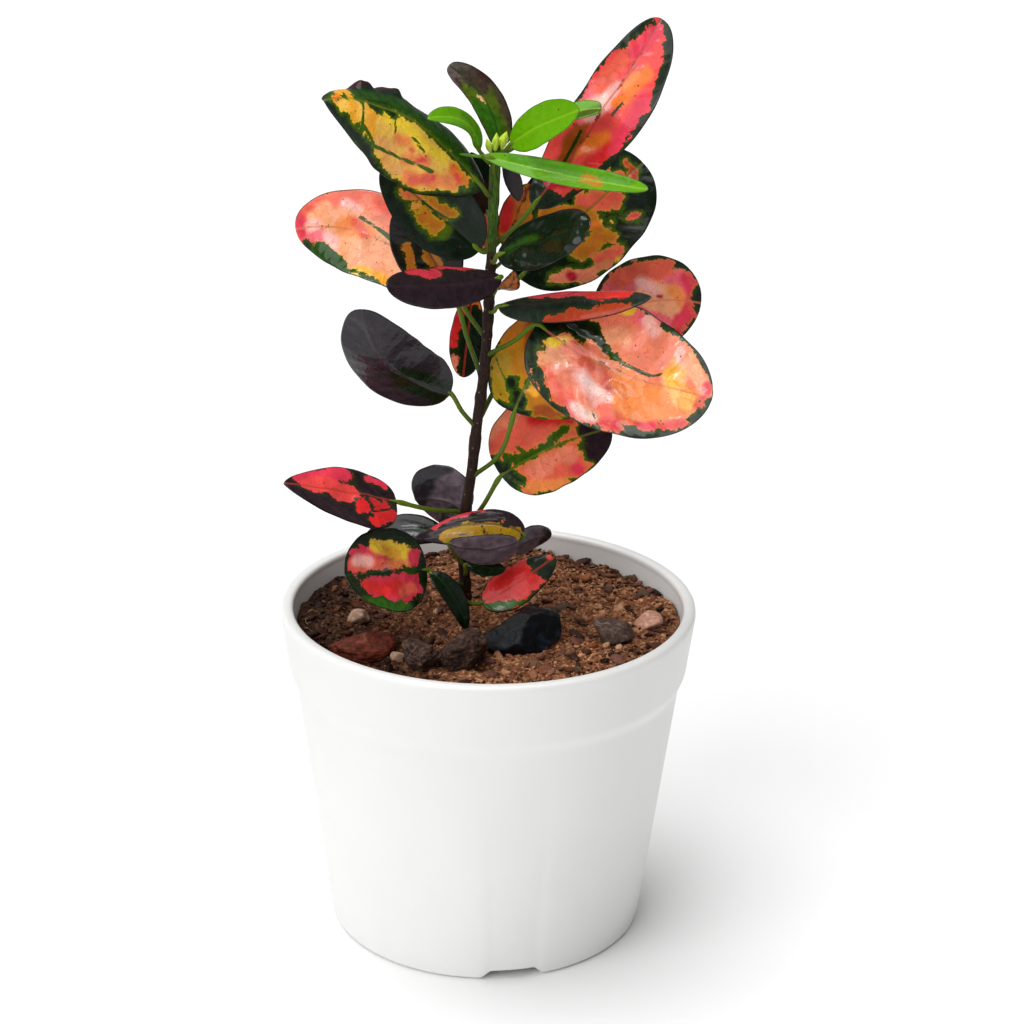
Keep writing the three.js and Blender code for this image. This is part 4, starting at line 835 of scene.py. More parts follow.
                ("bottle", 0.19, 0.3, 0.07, -0.1, 2.9), ("brown_orange_painted_shade", 0.09, -0.5, 0.1, -0.85, 2.6),
                ("gold", 0.22, -0.1, 0.21, -0.2, 1.1)]),
    dict(name="low_right", finish="amber", base=(4, 4, 170), mid=(21.5, 10, 178.5), tip=(43.5, 18, 184),
         width=35, faces=(0, -0.9, 0.4), cup=12, neck=0.4, nose=0.5, lop=0.15, height=148.5,
         bulges=((0.5, 0.5, 8, 0.9), (0.45, -0.5, 8, 0.9)), warm="coral", dark="pine", margin=0.9, rib=0.5,
         foot=4,
         marks=[("salmon", 0.1, 0.8, 0.33, 0.9, 3.6), ("coral", 0.05, 0.9, 0.2, 0.6, 2.4),
                ("coral", 0.31, 0.5, 0.52, 0.4, 3), ("scarlet", 0.45, 0.6, 0.73, 0.4, 1.6),
                ("salmon", 0.3, -0.35, 0.6, -0.4, 3.6), ("coral", 0.5, -0.6, 0.62, -0.8, 2.4),
                ("tangerine", 0.2, -0.75, 0.5, -0.95, 2.2), ("rose", 0.64, -0.7, 0.66, -0.85, 1.6),
                ("pine", 0.02, -0.2, 0.13, 0.2, 2.3), ("pine", 0.02, 0.3, 0.14, -0.5, 2.1),
                ("fern", 0.14, 0.3, 0.2, 0.1, 1.3), ("fern", 0.18, 0.05, 0.42, 0.05, 1.5),
                ("fern", 0.42, 0.05, 0.68, 0.25, 1.5), ("fern", 0.3, 0.05, 0.26, 0.3, 0.6),
                ("plum", 0.92, 0.7, 0.88, -0.7, 7)]),
    dict(name="low_left", finish="flame", base=(-33, -6, 163.5), mid=(-51.5, -14, 170), tip=(-71, -24, 176.5),
         width=27, faces=(0, -0.5, 0.87), cup=8, neck=0.4, nose=0.7, lop=0.2, height=157,
         bulges=((0.3, 0.3, 7, 0.9), (0.6, -0.3, 7, 0.9)), warm="rose", dark="plum",
         marks=[("rose", 0.88, -0.6, 0.46, -0.75, 3.6), ("flush", 0.78, -0.16, 0.42, -0.04, 3.2),
                ("flush", 0.58, 0.08, 0.44, 0.2, 2), ("scarlet", 0.34, 0.35, 0.14, 0.3, 3),
                ("scarlet", 0.24, 0.75, 0.06, 0.7, 2.6), ("plum", 0.38, -0.9, 0.26, 0.5, 0.9),
                ("plum", 0.3, 0.55, 0.08, 0.42, 0.4), ("rose", 0.24, -0.75, 0.1, -0.8, 1.6),
                ("plum", 0.975, -0.8, 0.955, 0.6, 3)]),
    dict(name="back_slate", finish="slate", base=(-8, 15.5, 150.5), mid=(-17.5, 21, 153.5),
         tip=(-27.5, 26.5, 152), width=29, faces=(0, 1, 0.2), cup=16, neck=0.42, nose=0.42, height=150,
         warm="amber", dark="mauve", bulges=((0.5, 0, 12, 1.2),),
         marks=[("slate", 0, -1, 0.6, -1, 4), ("slate", 0.6, 1, 1, 0.6, 4)]),
    dict(name="low_black", finish="slate", skin="forest", base=(-15.5, 8, 144.5), mid=(-30.5, 10, 147),
         tip=(-46, 10, 141.5), width=14, faces=(0, -0.55, 0.8), cup=-12, neck=0.6, nose=0.6, height=143,
         warm="amber", dark="soot"),
    # low_round: its pale pink stroke near the tip is a painted highlight.
    dict(name="low_round", finish="flame", skin="wet", base=(-22, -11, 139.5), mid=(-35, -22, 143.5),
         tip=(-49.5, -34, 146.5), width=31, faces=(-0.1, -0.85, 0.5), cup=15, neck=0.5, nose=0.5,
         height=122.5, bulges=((0.6, -0.3, 7, 1.3), (0.5, 0.5, 6, 1)), warm="rose", dark="bottle",
         margin=(3.8, 3.4), rib=0.6, foot=3,
         marks=[("bottle", 0.2, -0.85, 0.7, -0.95, 2.8), ("bottle", 0.95, 0, 0.85, 0.8, 1.6),
                ("rose", 0.84, -0.6, 0.72, -0.5, 2.2), ("lemon", 0.6, -0.6, 0.3, -0.48, 2.9),
                ("gold", 0.52, -0.5, 0.36, -0.42, 1.2), ("coral", 0.87, -0.25, 0.6, -0.12, 2.2),
                ("tangerine", 0.5, -0.16, 0.26, -0.14, 1.2), ("scarlet", 0.78, 0.4, 0.45, 0.46, 2.6),
                ("coral", 0.42, 0.55, 0.24, 0.5, 1.5), ("blush_pink_and_painted_highlight", 0.84, -0.4, 0.74, -0.3, 1.6),
                ("bottle", 0.86, 0.08, 0.02, 0.02, 0.9), ("fern", 0.3, 0.02, 0.05, 0, 1.3),
                ("grass", 0.85, 0.98, 0.4, 0.98, 2.4), ("bottle", 0.02, -0.8, 0.04, 0.8, 3.6)]),
    dict(name="low_drop", finish="forest", base=(-20.5, -17, 141), mid=(-12.5, -21, 134),
         tip=(-7.5, -22, 121.5), width=9, faces=(0.4, -0.6, 0.7), cup=15, neck=0.5, nose=0.55, height=126,
         warm="moss", dark="bottle",
         marks=[("pine", 0.19, 0.9, 0.69, 0.6, 1.1)]),
    # low_boat: its broad mustard stroke on the hanging near half is the leaf's yellow darkened with painted
    # shade.
    dict(name="low_boat", finish="plum", base=(12.5, -6, 151.5), mid=(-2.5, -7, 156), tip=(-25.5, -5, 149),
         width=17, faces=(0, -0.72, 0.7), cup=-38, neck=0.45, nose=0.75, lop=0.15, height=138, warm="rose",
         dark="aubergine",
         marks=[("rose", 0.88, -0.8, 0.5, -0.9, 1.3), ("mustard", 0.75, 0.5, 0.12, 0.45, 4),
                ("rust", 0.7, 0.4, 0.2, 0.5, 0.35), ("rust", 0.5, 0.1, 0.42, 0.8, 0.3),
                ("rust", 0.3, 0.15, 0.24, 0.8, 0.3), ("rust", 0.75, 0.98, 0.3, 0.98, 0.7)]),
    dict(name="low_plum", finish="plum", base=(-14, -13, 151), mid=(-2, -16, 149.5), tip=(10.5, -15, 152.5),
         width=16.5, faces=(0, 0.85, 0.4), cup=18, neck=0.55, nose=0.45, lop=0.2, height=134, warm="amber",
         dark="mauve", bulges=((0.4, 0.2, 6, 1), (0.7, -0.3, 5, 0.7))),
    dict(name="low_mauve", finish="plum", base=(8.5, 6, 141), mid=(15, 12, 142.5), tip=(22.5, 19, 141),
         width=11, faces=(0, 1, 0.1), cup=12, neck=0.5, nose=0.5, height=141, warm="amber", dark="mauve",
         marks=[("soot", 0.9, -1, 0.9, 1, 2)]),
    dict(name="low_flame", finish="flame", base=(-2.5, -6, 125), mid=(9.5, -5, 132), tip=(24, 0, 141),
         width=16, faces=(0, -0.7, 0.7), cup=-12, neck=0.5, nose=0.6, height=119.5, warm="flush", dark="pine",
         margin=(0.8, 1), rib=0, foot=1.5,
         marks=[("scarlet", 0.2, 0.3, 0.6, 0.35, 2.6), ("scarlet", 0.3, -0.2, 0.68, -0.1, 2.6),
                ("mustard", 0.12, -0.6, 0.35, -0.72, 0.9), ("grass", 0.04, -0.6, 0.5, -0.98, 1.1),
                ("pine", 0.85, -0.7, 0.85, 0.7, 3.4)]),
    dict(name="low_green", finish="forest", base=(-8, -6, 140), mid=(-1.5, -8, 139.5), tip=(6, -8, 139),
         width=8, faces=(0, -0.6, 0.8), cup=12, neck=0.6, nose=0.6, height=130, warm="moss", dark="bottle"),
    dict(name="back_amber", finish="flame", base=(6, 10, 251.5), mid=(8, 13, 262), tip=(13, 15, 274),
         width=12, faces=(0, -0.9, 0.3), cup=12, neck=0.6, nose=0.6, height=247, warm="amber", dark="bottle",
         margin=0.3, rib=0.3, foot=1,
         marks=[("scarlet", 0.31, 0.5, 0.66, 0.7, 1.8)]),
    dict(name="back_black", finish="forest", base=(4, 4, 284.5), mid=(7, 7, 277), tip=(9, 8, 269.5), width=6,
         faces=(0, 0.9, 0.3), cup=12, neck=0.6, nose=0.6, height=286, warm="moss", dark="soot"),
    dict(name="back_pink", finish="coral", base=(-1, 14, 249.5), mid=(-4.5, 18, 258), tip=(-7.5, 20, 268),
         width=15, faces=(0, -0.9, 0.3), cup=12, neck=0.6, nose=0.6, height=243, warm="pink", dark="moss",
         margin=0.5, rib=0.5, foot=2,
         marks=[("coral", 0.3, -0.5, 0.5, 0.3, 3)]),
    dict(name="core_orange", finish="amber", base=(2, -2, 241.5), mid=(6.5, -8, 244), tip=(8, -12, 250.5),
         width=6, faces=(0.5, 0.2, 0.8), cup=12, neck=0.6, nose=0.6, height=238, warm="orange", dark="maroon",
         margin=0.5, rib=0.1, foot=1),
    dict(name="core_dark", finish="forest", base=(-1.5, 8, 265), mid=(-5.5, 11, 275.5), tip=(-7.5, 12, 285.5),
         width=13, faces=(0, -0.9, 0.3), cup=12, neck=0.6, nose=0.7, height=262, warm="brick", dark="bottle",
         marks=[("maroon", 0.2, 0, 0.4, 0, 3)]),
]


def leaf_look(name, roughness, sheen, coat, jag, fringe, verdant, rib_tone, edge_tone="#120d0a", mottle=0.3):
    """A leaf's upper skin. Attribute green is how far inside the chlorophyll a point lies, in mm.

    jag is how far the small veins fray its border, fringe how yellow the border is on its warm side,
    verdant how bright a green on its dark side, and mottle how uneven the dark pigment is.
    """
    finish, tree, result = new_finish(name)
    flat = add(tree, "Attribute", attribute_name="flat").outputs["Vector"]
    warm = add(tree, "Attribute", attribute_name="warm").outputs["Color"]
    dark = add(tree, "Attribute", attribute_name="dark").outputs["Color"]
    green, vein, rim, thread = (
        add(tree, "Attribute", attribute_name=name).outputs["Fac"]
        for name in ("green", "vein", "rim", "thread"))
    drift = add(tree, "TexNoise", {"Vector": flat, "Scale": 1 / (2.8 * MM), "Detail": 2.0},
                noise_dimensions="2D")
    wander = add(tree, "TexNoise", {"Vector": flat, "Scale": 1 / (0.9 * MM), "Detail": 3.0},
                 noise_dimensions="2D").outputs[0]
    cloud = add(tree, "TexNoise", {"Vector": flat, "Scale": 1 / (8 * MM), "Detail": 3.0},
                noise_dimensions="2D").outputs[0]
    # Areoles, the fields between the small veins, are 3 to 5 mm wide and puffed up a little
    bent = add(tree, "VectorMath", {0: drift.outputs["Color"], 1: (3.2 * MM, 3.2 * MM, 0), 2: flat},
               operation="MULTIPLY_ADD")
    fields = add(tree, "TexVoronoi", {"Vector": bent, "Scale": 1 / (FIELD_WIDTH * MM)},
                 voronoi_dimensions="2D")
    shares = add(tree, "SeparateColor", {"Color": fields.outputs["Color"]})
    seams = add(tree, "TexVoronoi", {"Vector": bent, "Scale": 1 / (FIELD_WIDTH * MM)},
                voronoi_dimensions="2D", feature="DISTANCE_TO_EDGE").outputs["Distance"]
    beside = add(tree, "Math", {0: drift.outputs[0], 1: 0.25, 2: vein}, operation="MULTIPLY_ADD")
    beside = add(tree, "Math", {0: beside, 1: 0.5}, operation="PINGPONG")
    on_vein = add(tree, "MapRange", {"Value": beside, "From Min": 0.1, "From Max": 0.02},
                  interpolation_type="SMOOTHSTEP")
    # The border of the chlorophyll is scalloped by the fields and runs out along the side veins
    jagged = green
    for push, millimetres in ((drift.outputs[0], 6), (wander, 2.6), (shares.outputs["Red"], 1.2),
                              (on_vein, 0.9)):
        jagged = add(tree, "Math", {0: push, 1: millimetres * jag, 2: jagged}, operation="MULTIPLY_ADD")
    at = MEAN_PUSH * jag
    cover = add(tree, "MapRange", {"Value": jagged, "From Min": at - 0.22, "From Max": at + 0.22},
                interpolation_type="SMOOTHSTEP")
    thin = add(tree, "Math", {0: wander, 1: 0.5, 2: thread}, operation="MULTIPLY_ADD")
    thin = add(tree, "MapRange", {"Value": thin, "From Min": 0.02, "From Max": 0.28},
               interpolation_type="SMOOTHSTEP")
    cover = add(tree, "Math", {0: cover, 1: thin}, operation="MAXIMUM")
    edging = add(tree, "MapRange", {"Value": jagged, "From Min": at - 2.0, "From Max": at, "To Max": fringe},
                 interpolation_type="SMOOTHSTEP")
    lively = add(tree, "MapRange", {"Value": jagged, "From Min": at + 2.4, "From Max": at, "To Max": verdant},
                 interpolation_type="SMOOTHSTEP")
    # The warm pigment differs a little from field to field, and red gathers along the seams
    lit = add(tree, "MapRange", {"Value": shares.outputs["Green"], "To Min": 0.92, "To Max": 1.08})
    warm = add(tree, "Mix", {"Factor": 1.0, "A": warm, "B": lit}, data_type="RGBA", blend_type="MULTIPLY")
    glow = add(tree, "MapRange", {"Value": cloud, "From Min": 0.3, "From Max": 0.7, "To Min": 0.9,
                                  "To Max": 1.12})
    warm = add(tree, "Mix", {"Factor": 1.0, "A": warm, "B": glow}, data_type="RGBA", blend_type="MULTIPLY")
    seam = add(tree, "MapRange", {"Value": seams, "From Min": 0.09, "From Max": 0.01, "To Max": 0.38},
               interpolation_type="SMOOTHSTEP")
    faint = add(tree, "MapRange", {"Value": cloud, "From Min": 0.42, "From Max": 0.62})
    seam = add(tree, "Math", {0: seam, 1: faint}, operation="MULTIPLY")
    warm = add(tree, "Mix", {"Factor": seam, "A": warm, "B": linear("#d0432e")}, data_type="RGBA")
    flush = add(tree, "MapRange", {"Value": wander, "From Min": 0.58, "From Max": 0.74, "To Max": 0.4},
                interpolation_type="SMOOTHSTEP")
    warm = add(tree, "Mix", {"Factor": flush, "A": warm, "B": linear("#d84030")}, data_type="RGBA")
    warm = add(tree, "Mix", {"Factor": edging, "A": warm, "B": linear("#c8ae14")}, data_type="RGBA")
    # The dark pigment is mottled, and a livelier green near its border
    deep = add(tree, "MapRange", {"Value": drift.outputs[0], "From Min": 0.3, "From Max": 0.7,
                                  "To Min": 1 - mottle, "To Max": 1 + mottle})
    dark = add(tree, "Mix", {"Factor": 1.0, "A": dark, "B": deep}, data_type="RGBA", blend_type="MULTIPLY")
    dark = add(tree, "Mix", {"Factor": lively, "A": dark, "B": linear("#4a6c08")}, data_type="RGBA")
    skin = add(tree, "Mix", {"Factor": cover, "A": warm, "B": dark}, data_type="RGBA")
    # Over both lie the rib, a few red-brown flecks and the thin dark rim of the blade
    across = add(tree, "SeparateXYZ", {"Vector": flat})
    across = add(tree, "Math", {0: across.outputs["Y"], 1: FLAT_RIB * MM}, operation="SUBTRACT")
    across = add(tree, "Math", {0: across}, operation="ABSOLUTE")
    on_rib = add(tree, "MapRange", {"Value": across, "From Min": 0.6 * MM, "From Max": 0.2 * MM,
                                    "To Max": 0.6}, interpolation_type="SMOOTHSTEP")
    skin = add(tree, "Mix", {"Factor": on_rib, "A": skin, "B": linear(rib_tone)}, data_type="RGBA")
    fleck = add(tree, "TexVoronoi", {"Vector": flat, "Scale": 1 / (4 * MM)}, voronoi_dimensions="2D")
    chance = add(tree, "SeparateColor", {"Color": fleck.outputs["Color"]})
    reach = add(tree, "MapRange", {"Value": chance.outputs["Blue"], "From Min": 0.84, "From Max": 1.0,
                                   "To Max": 0.08})
    spot = add(tree, "Math", {0: fleck.outputs["Distance"], 1: reach}, operation="LESS_THAN")
    skin = add(tree, "Mix", {"Factor": spot, "A": skin, "B": linear("#5c1d12")}, data_type="RGBA")
    line = add(tree, "MapRange", {"Value": rim, "From Min": 0.55, "From Max": 0.25, "To Max": 0.8},
               interpolation_type="SMOOTHSTEP")
    skin = add(tree, "Mix", {"Factor": line, "A": skin, "B": linear(edge_tone)}, data_type="RGBA")
    # The wax is uneven, and the fields stand a little proud of their seams
    rough = add(tree, "MapRange", {"Value": cloud, "From Min": 0.3, "From Max": 0.7,
                                   "To Min": roughness - 0.07, "To Max": roughness + 0.07})
    puffed = add(tree, "MapRange", {"Value": seams, "From Min": 0.0, "From Max": 0.3},
                 interpolation_type="SMOOTHSTEP")
    relief = add(tree, "Math", {0: wander, 1: 0.5, 2: puffed}, operation="MULTIPLY_ADD")
    bump = add(tree, "Bump", {"Height": relief, "Distance": 0.09 * MM, "Strength": 0.8})
    shader = add(tree, "BsdfPrincipled", {"Base Color": skin, "Roughness": rough, "IOR": 1.45,
                                          "Specular IOR Level": sheen, "Coat Weight": coat,
                                          "Coat Roughness": 0.1, "Normal": bump})
    tree.links.new(shader.outputs[0], result.inputs[0])
    return finish


def underside_look(name, ground, roughness):
    """A leaf's underside: its raised veins on a dull ground, the warm fields only shining through."""
    finish, tree, result = new_finish(name)
    flat = add(tree, "Attribute", attribute_name="flat").outputs["Vector"]
    warm = add(tree, "Attribute", attribute_name="warm").outputs["Color"]
    green = add(tree, "Attribute", attribute_name="green").outputs["Fac"]
    vein = add(tree, "Attribute", attribute_name="vein").outputs["Fac"]
    wander = add(tree, "TexNoise", {"Vector": flat, "Scale": 1 / (1.3 * MM), "Detail": 3.0},
                 noise_dimensions="2D").outputs[0]
    cloud = add(tree, "TexNoise", {"Vector": flat, "Scale": 1 / (8 * MM), "Detail": 2.0},
                noise_dimensions="2D").outputs[0]
    net = add(tree, "TexVoronoi", {"Vector": flat, "Scale": 1 / (2.0 * MM)},
              voronoi_dimensions="2D", feature="DISTANCE_TO_EDGE")
    jag = add(tree, "Math", {0: wander, 1: 3.0, 2: green}, operation="MULTIPLY_ADD")
    bare = add(tree, "MapRange", {"Value": jag, "From Min": 1.9, "From Max": 0.9, "To Max": 0.7},
               interpolation_type="SMOOTHSTEP")
    deep = add(tree, "MapRange", {"Value": cloud, "From Min": 0.3, "From Max": 0.7, "To Min": 0.75,
                                  "To Max": 1.2})
    dull = add(tree, "Mix", {"Factor": 1.0, "A": linear(ground), "B": deep},
               data_type="RGBA", blend_type="MULTIPLY")
    dim = add(tree, "Mix", {"Factor": 0.55, "A": warm, "B": linear("#7a5410")}, data_type="RGBA")
    skin = add(tree, "Mix", {"Factor": bare, "A": dull, "B": dim}, data_type="RGBA")
    beside = add(tree, "Math", {0: vein, 1: 0.5}, operation="PINGPONG")
    on_vein = add(tree, "MapRange", {"Value": beside, "From Min": 0.08, "From Max": 0.02, "To Max": 0.4},
                  interpolation_type="SMOOTHSTEP")
    skin = add(tree, "Mix", {"Factor": on_vein, "A": skin, "B": linear("#241d1c")}, data_type="RGBA")
    raised = add(tree, "MapRange", {"Value": net.outputs["Distance"], "From Min": 0.0, "From Max": 0.15,
                                    "To Min": 1.0, "To Max": 0.0})
    bump = add(tree, "Bump", {"Height": raised, "Distance": 0.05 * MM, "Strength": 0.6})
    shader = add(tree, "BsdfPrincipled", {"Base Color": skin, "Roughness": roughness, "IOR": 1.45,
                                          "Specular IOR Level": 0.2, "Coat Weight": 0.15,
                                          "Coat Roughness": 0.25, "Normal": bump})
    tree.links.new(shader.outputs[0], result.inputs[0])
    return finish


# Cuticle wax over leaf tissue: a clear coat, thickest on the two glossy skins, thinnest on young leaves.
upper_skins = {
    "flame": leaf_look("croton_leaf_red_waxy", 0.3, 0.1, 0.3, 0.5, 0.0, 0.15, "#b83a30"),
    "coral": leaf_look("croton_leaf_coral_waxy", 0.3, 0.1, 0.5, 0.5, 0.2, 0.25, "#df7556"),
    "amber": leaf_look("croton_leaf_yellow_waxy", 0.34, 0.1, 0.2, 0.5, 0.3, 0.75, "#6f7a1a"),
    "lime": leaf_look("croton_leaf_young_green_waxy", 0.26, 0.12, 0.12, 0.3, 0.3, 0.0, "#86b91e", "#3c7208",
                      0.06),
    "forest": leaf_look("croton_leaf_dark_green_waxy", 0.3, 0.12, 0.25, 0.5, 0.5, 0.6, "#1c3212"),
    "wet": leaf_look("croton_leaf_red_glossy", 0.24, 0.15, 0.7, 0.5, 0.0, 0.15, "#234410"),
    "gloss": leaf_look("croton_leaf_dark_green_glossy", 0.3, 0.1, 0.6, 0.1, 0.3, 0.4, "#14280e"),
    "plum": leaf_look("croton_leaf_purple_waxy", 0.3, 0.16, 0.3, 0.45, 0.05, 0.1, "#35252a"),
    "slate": leaf_look("croton_leaf_slate_waxy", 0.3, 0.3, 0.2, 0.4, 0.1, 0.1, "#342c30"),
}
# The underside has thinner wax, so it is duller, and its purple pigment greys it.
dull_underside = underside_look("croton_leaf_underside_purple_grey", "#2b242a", 0.34)
young_underside = underside_look("croton_leaf_underside_young_green", "#5d8a1c", 0.4)

# Leaf stalk: smooth, faintly streaked, olive at the stem and yellow-green at the blade.
stalk_finish, tree, result = new_finish("croton_leaf_stalk_smooth")
flat = add(tree, "Attribute", attribute_name="flat").outputs["Vector"]
age = add(tree, "Attribute", attribute_name="green").outputs["Fac"]
streak = add(tree, "TexNoise", {"Vector": flat, "Scale": 1 / (1.6 * MM), "Detail": 4.0})
along = add(tree, "Math", {0: streak.outputs["Fac"], 1: 0.5, 2: age}, operation="MULTIPLY_ADD")
along = add(tree, "MapRange", {"Value": along, "From Min": 0.2, "From Max": 1.3})
skin = add(tree, "Mix", {"Factor": along, "A": linear("#3a4a0e"), "B": linear("#668018")}, data_type="RGBA")
bump = add(tree, "Bump", {"Height": streak.outputs["Fac"], "Distance": 0.05 * MM, "Strength": 0.6})
shader = add(tree, "BsdfPrincipled", {"Base Color": skin, "Roughness": 0.38, "IOR": 1.45,
                                      "Specular IOR Level": 0.2, "Normal": bump})
tree.links.new(shader.outputs[0], result.inputs[0])


def eased_step(low, high, value):
    """0 below low, 1 above high, and smooth between them."""
    share = np.clip((value - low) / (high - low), 0, 1)
    return share * share * (3 - 2 * share)


def fullness(leaf, u):
    """The blade's width at a share of its length, as a share of its greatest width."""
    neck, nose = leaf["neck"], leaf["nose"]
    widest = neck / (neck + nose)
    return u ** neck * (1 - u) ** nose / (widest ** neck * (1 - widest) ** nose)


def stroke(leaf, length, u0, v0, u1, v1, s, t):
    """How far each point of the blade (s along, t across, in mm) is from a stroke given in shares."""
    (s0, t0), (s1, t1) = [
        (u * length, leaf["width"] / 2 * fullness(leaf, u) * v * (1 + leaf.get("lop", 0) * np.sign(v)))
        for u, v in ((u0, v0), (u1, v1))]
    ds, dt = s1 - s0, t1 - t0
    share = np.clip(((s - s0) * ds + (t - t0) * dt) / max(1e-6, ds * ds + dt * dt), 0, 1)
    return np.hypot(s - s0 - share * ds, t - t0 - share * dt)


def leaf_pigments(leaf, length, u, v, s, t, edge, turns):
    """How far inside the chlorophyll and its thin threads each point lies, in mm, and its two pigments."""
    margin = leaf.get("margin")
    if margin is None:
        green = np.full_like(t, ALL_DARK)
    else:
        uneven = 1 + 0.3 * np.sin(s / 5 + turns[3]) + 0.2 * np.sin(s / 2.3 + turns[4])
        margin = np.where(v > 0, margin[0], margin[1]) if isinstance(margin, tuple) else margin
        green = np.maximum(margin * uneven - edge, leaf["rib"] * (1.3 - u) - np.abs(t))
        green = np.maximum(green, leaf["foot"] - s)
    if "dark_side" in leaf:
        green = np.maximum(green, t * leaf["dark_side"])
    thread = np.full_like(t, NO_THREAD)
    warm, dark = (np.tile(linear(pigments[leaf[kind]]), (*t.shape, 1)) for kind in ("warm", "dark"))
    wobble = 0.5 * np.sin(s / 1.9 + 2 * np.sin(t / 1.7 + turns[5])) + 0.4 * np.sin(t / 1.3 + s / 2.7)
    for pigment, u0, v0, u1, v1, reach in leaf.get("marks", ()):
        inside = reach - stroke(leaf, length, u0, v0, u1, v1, s, t)
        inside += wobble * min(1, reach / 2.5)
        colour = np.array(linear(pigments[pigment]))
        soft = min(1.3, reach)
        weight = eased_step(-1.1 * soft, 0.4 * soft, inside)[..., None]
        if pigment not in dark_pigments:
            green = np.minimum(green, -inside)
            warm = warm * (1 - weight) + colour * weight
            continue
        dark = dark * (1 - weight) + colour * weight
        if reach < THREAD_REACH:
            thread = np.maximum(thread, inside)
        else:
            green = np.maximum(green, inside)
    return {"green": green, "thread": thread, "warm": warm, "dark": dark}


def leaf_stalk(leaf, base, run_in, first):
    """The stalk leaves the stem, dips or rises to the blade and runs out under its rib."""
    heights = np.array([p.z for p in stem_line])
    root = np.array(stem_line[int(np.argmin(np.abs(heights - leaf["height"])))])
    knee = root + 0.55 * (base - root) + np.array(leaf.get("knee", (0, 0, -1)))
    slender = STALK_RADIUS * min(1, 0.7 + leaf["width"] / 80)

    def radius_at(share, q):
        """Swollen where it joins the stem and the blade, a little flat above, and fading under the blade."""
        swollen = 1 + 0.45 * exp(-(share / 0.08) ** 2) + 0.25 * exp(-((share - 0.82) / 0.07) ** 2)
        fade = 1 - 0.55 * max(0, (share - 0.84) / 0.16)
        return slender * swollen * fade * (1 - 0.08 * sin(q) ** 2)

    return tube(smooth_route([root, knee, base, run_in], 9), radius_at, STALK_SIDES, first)


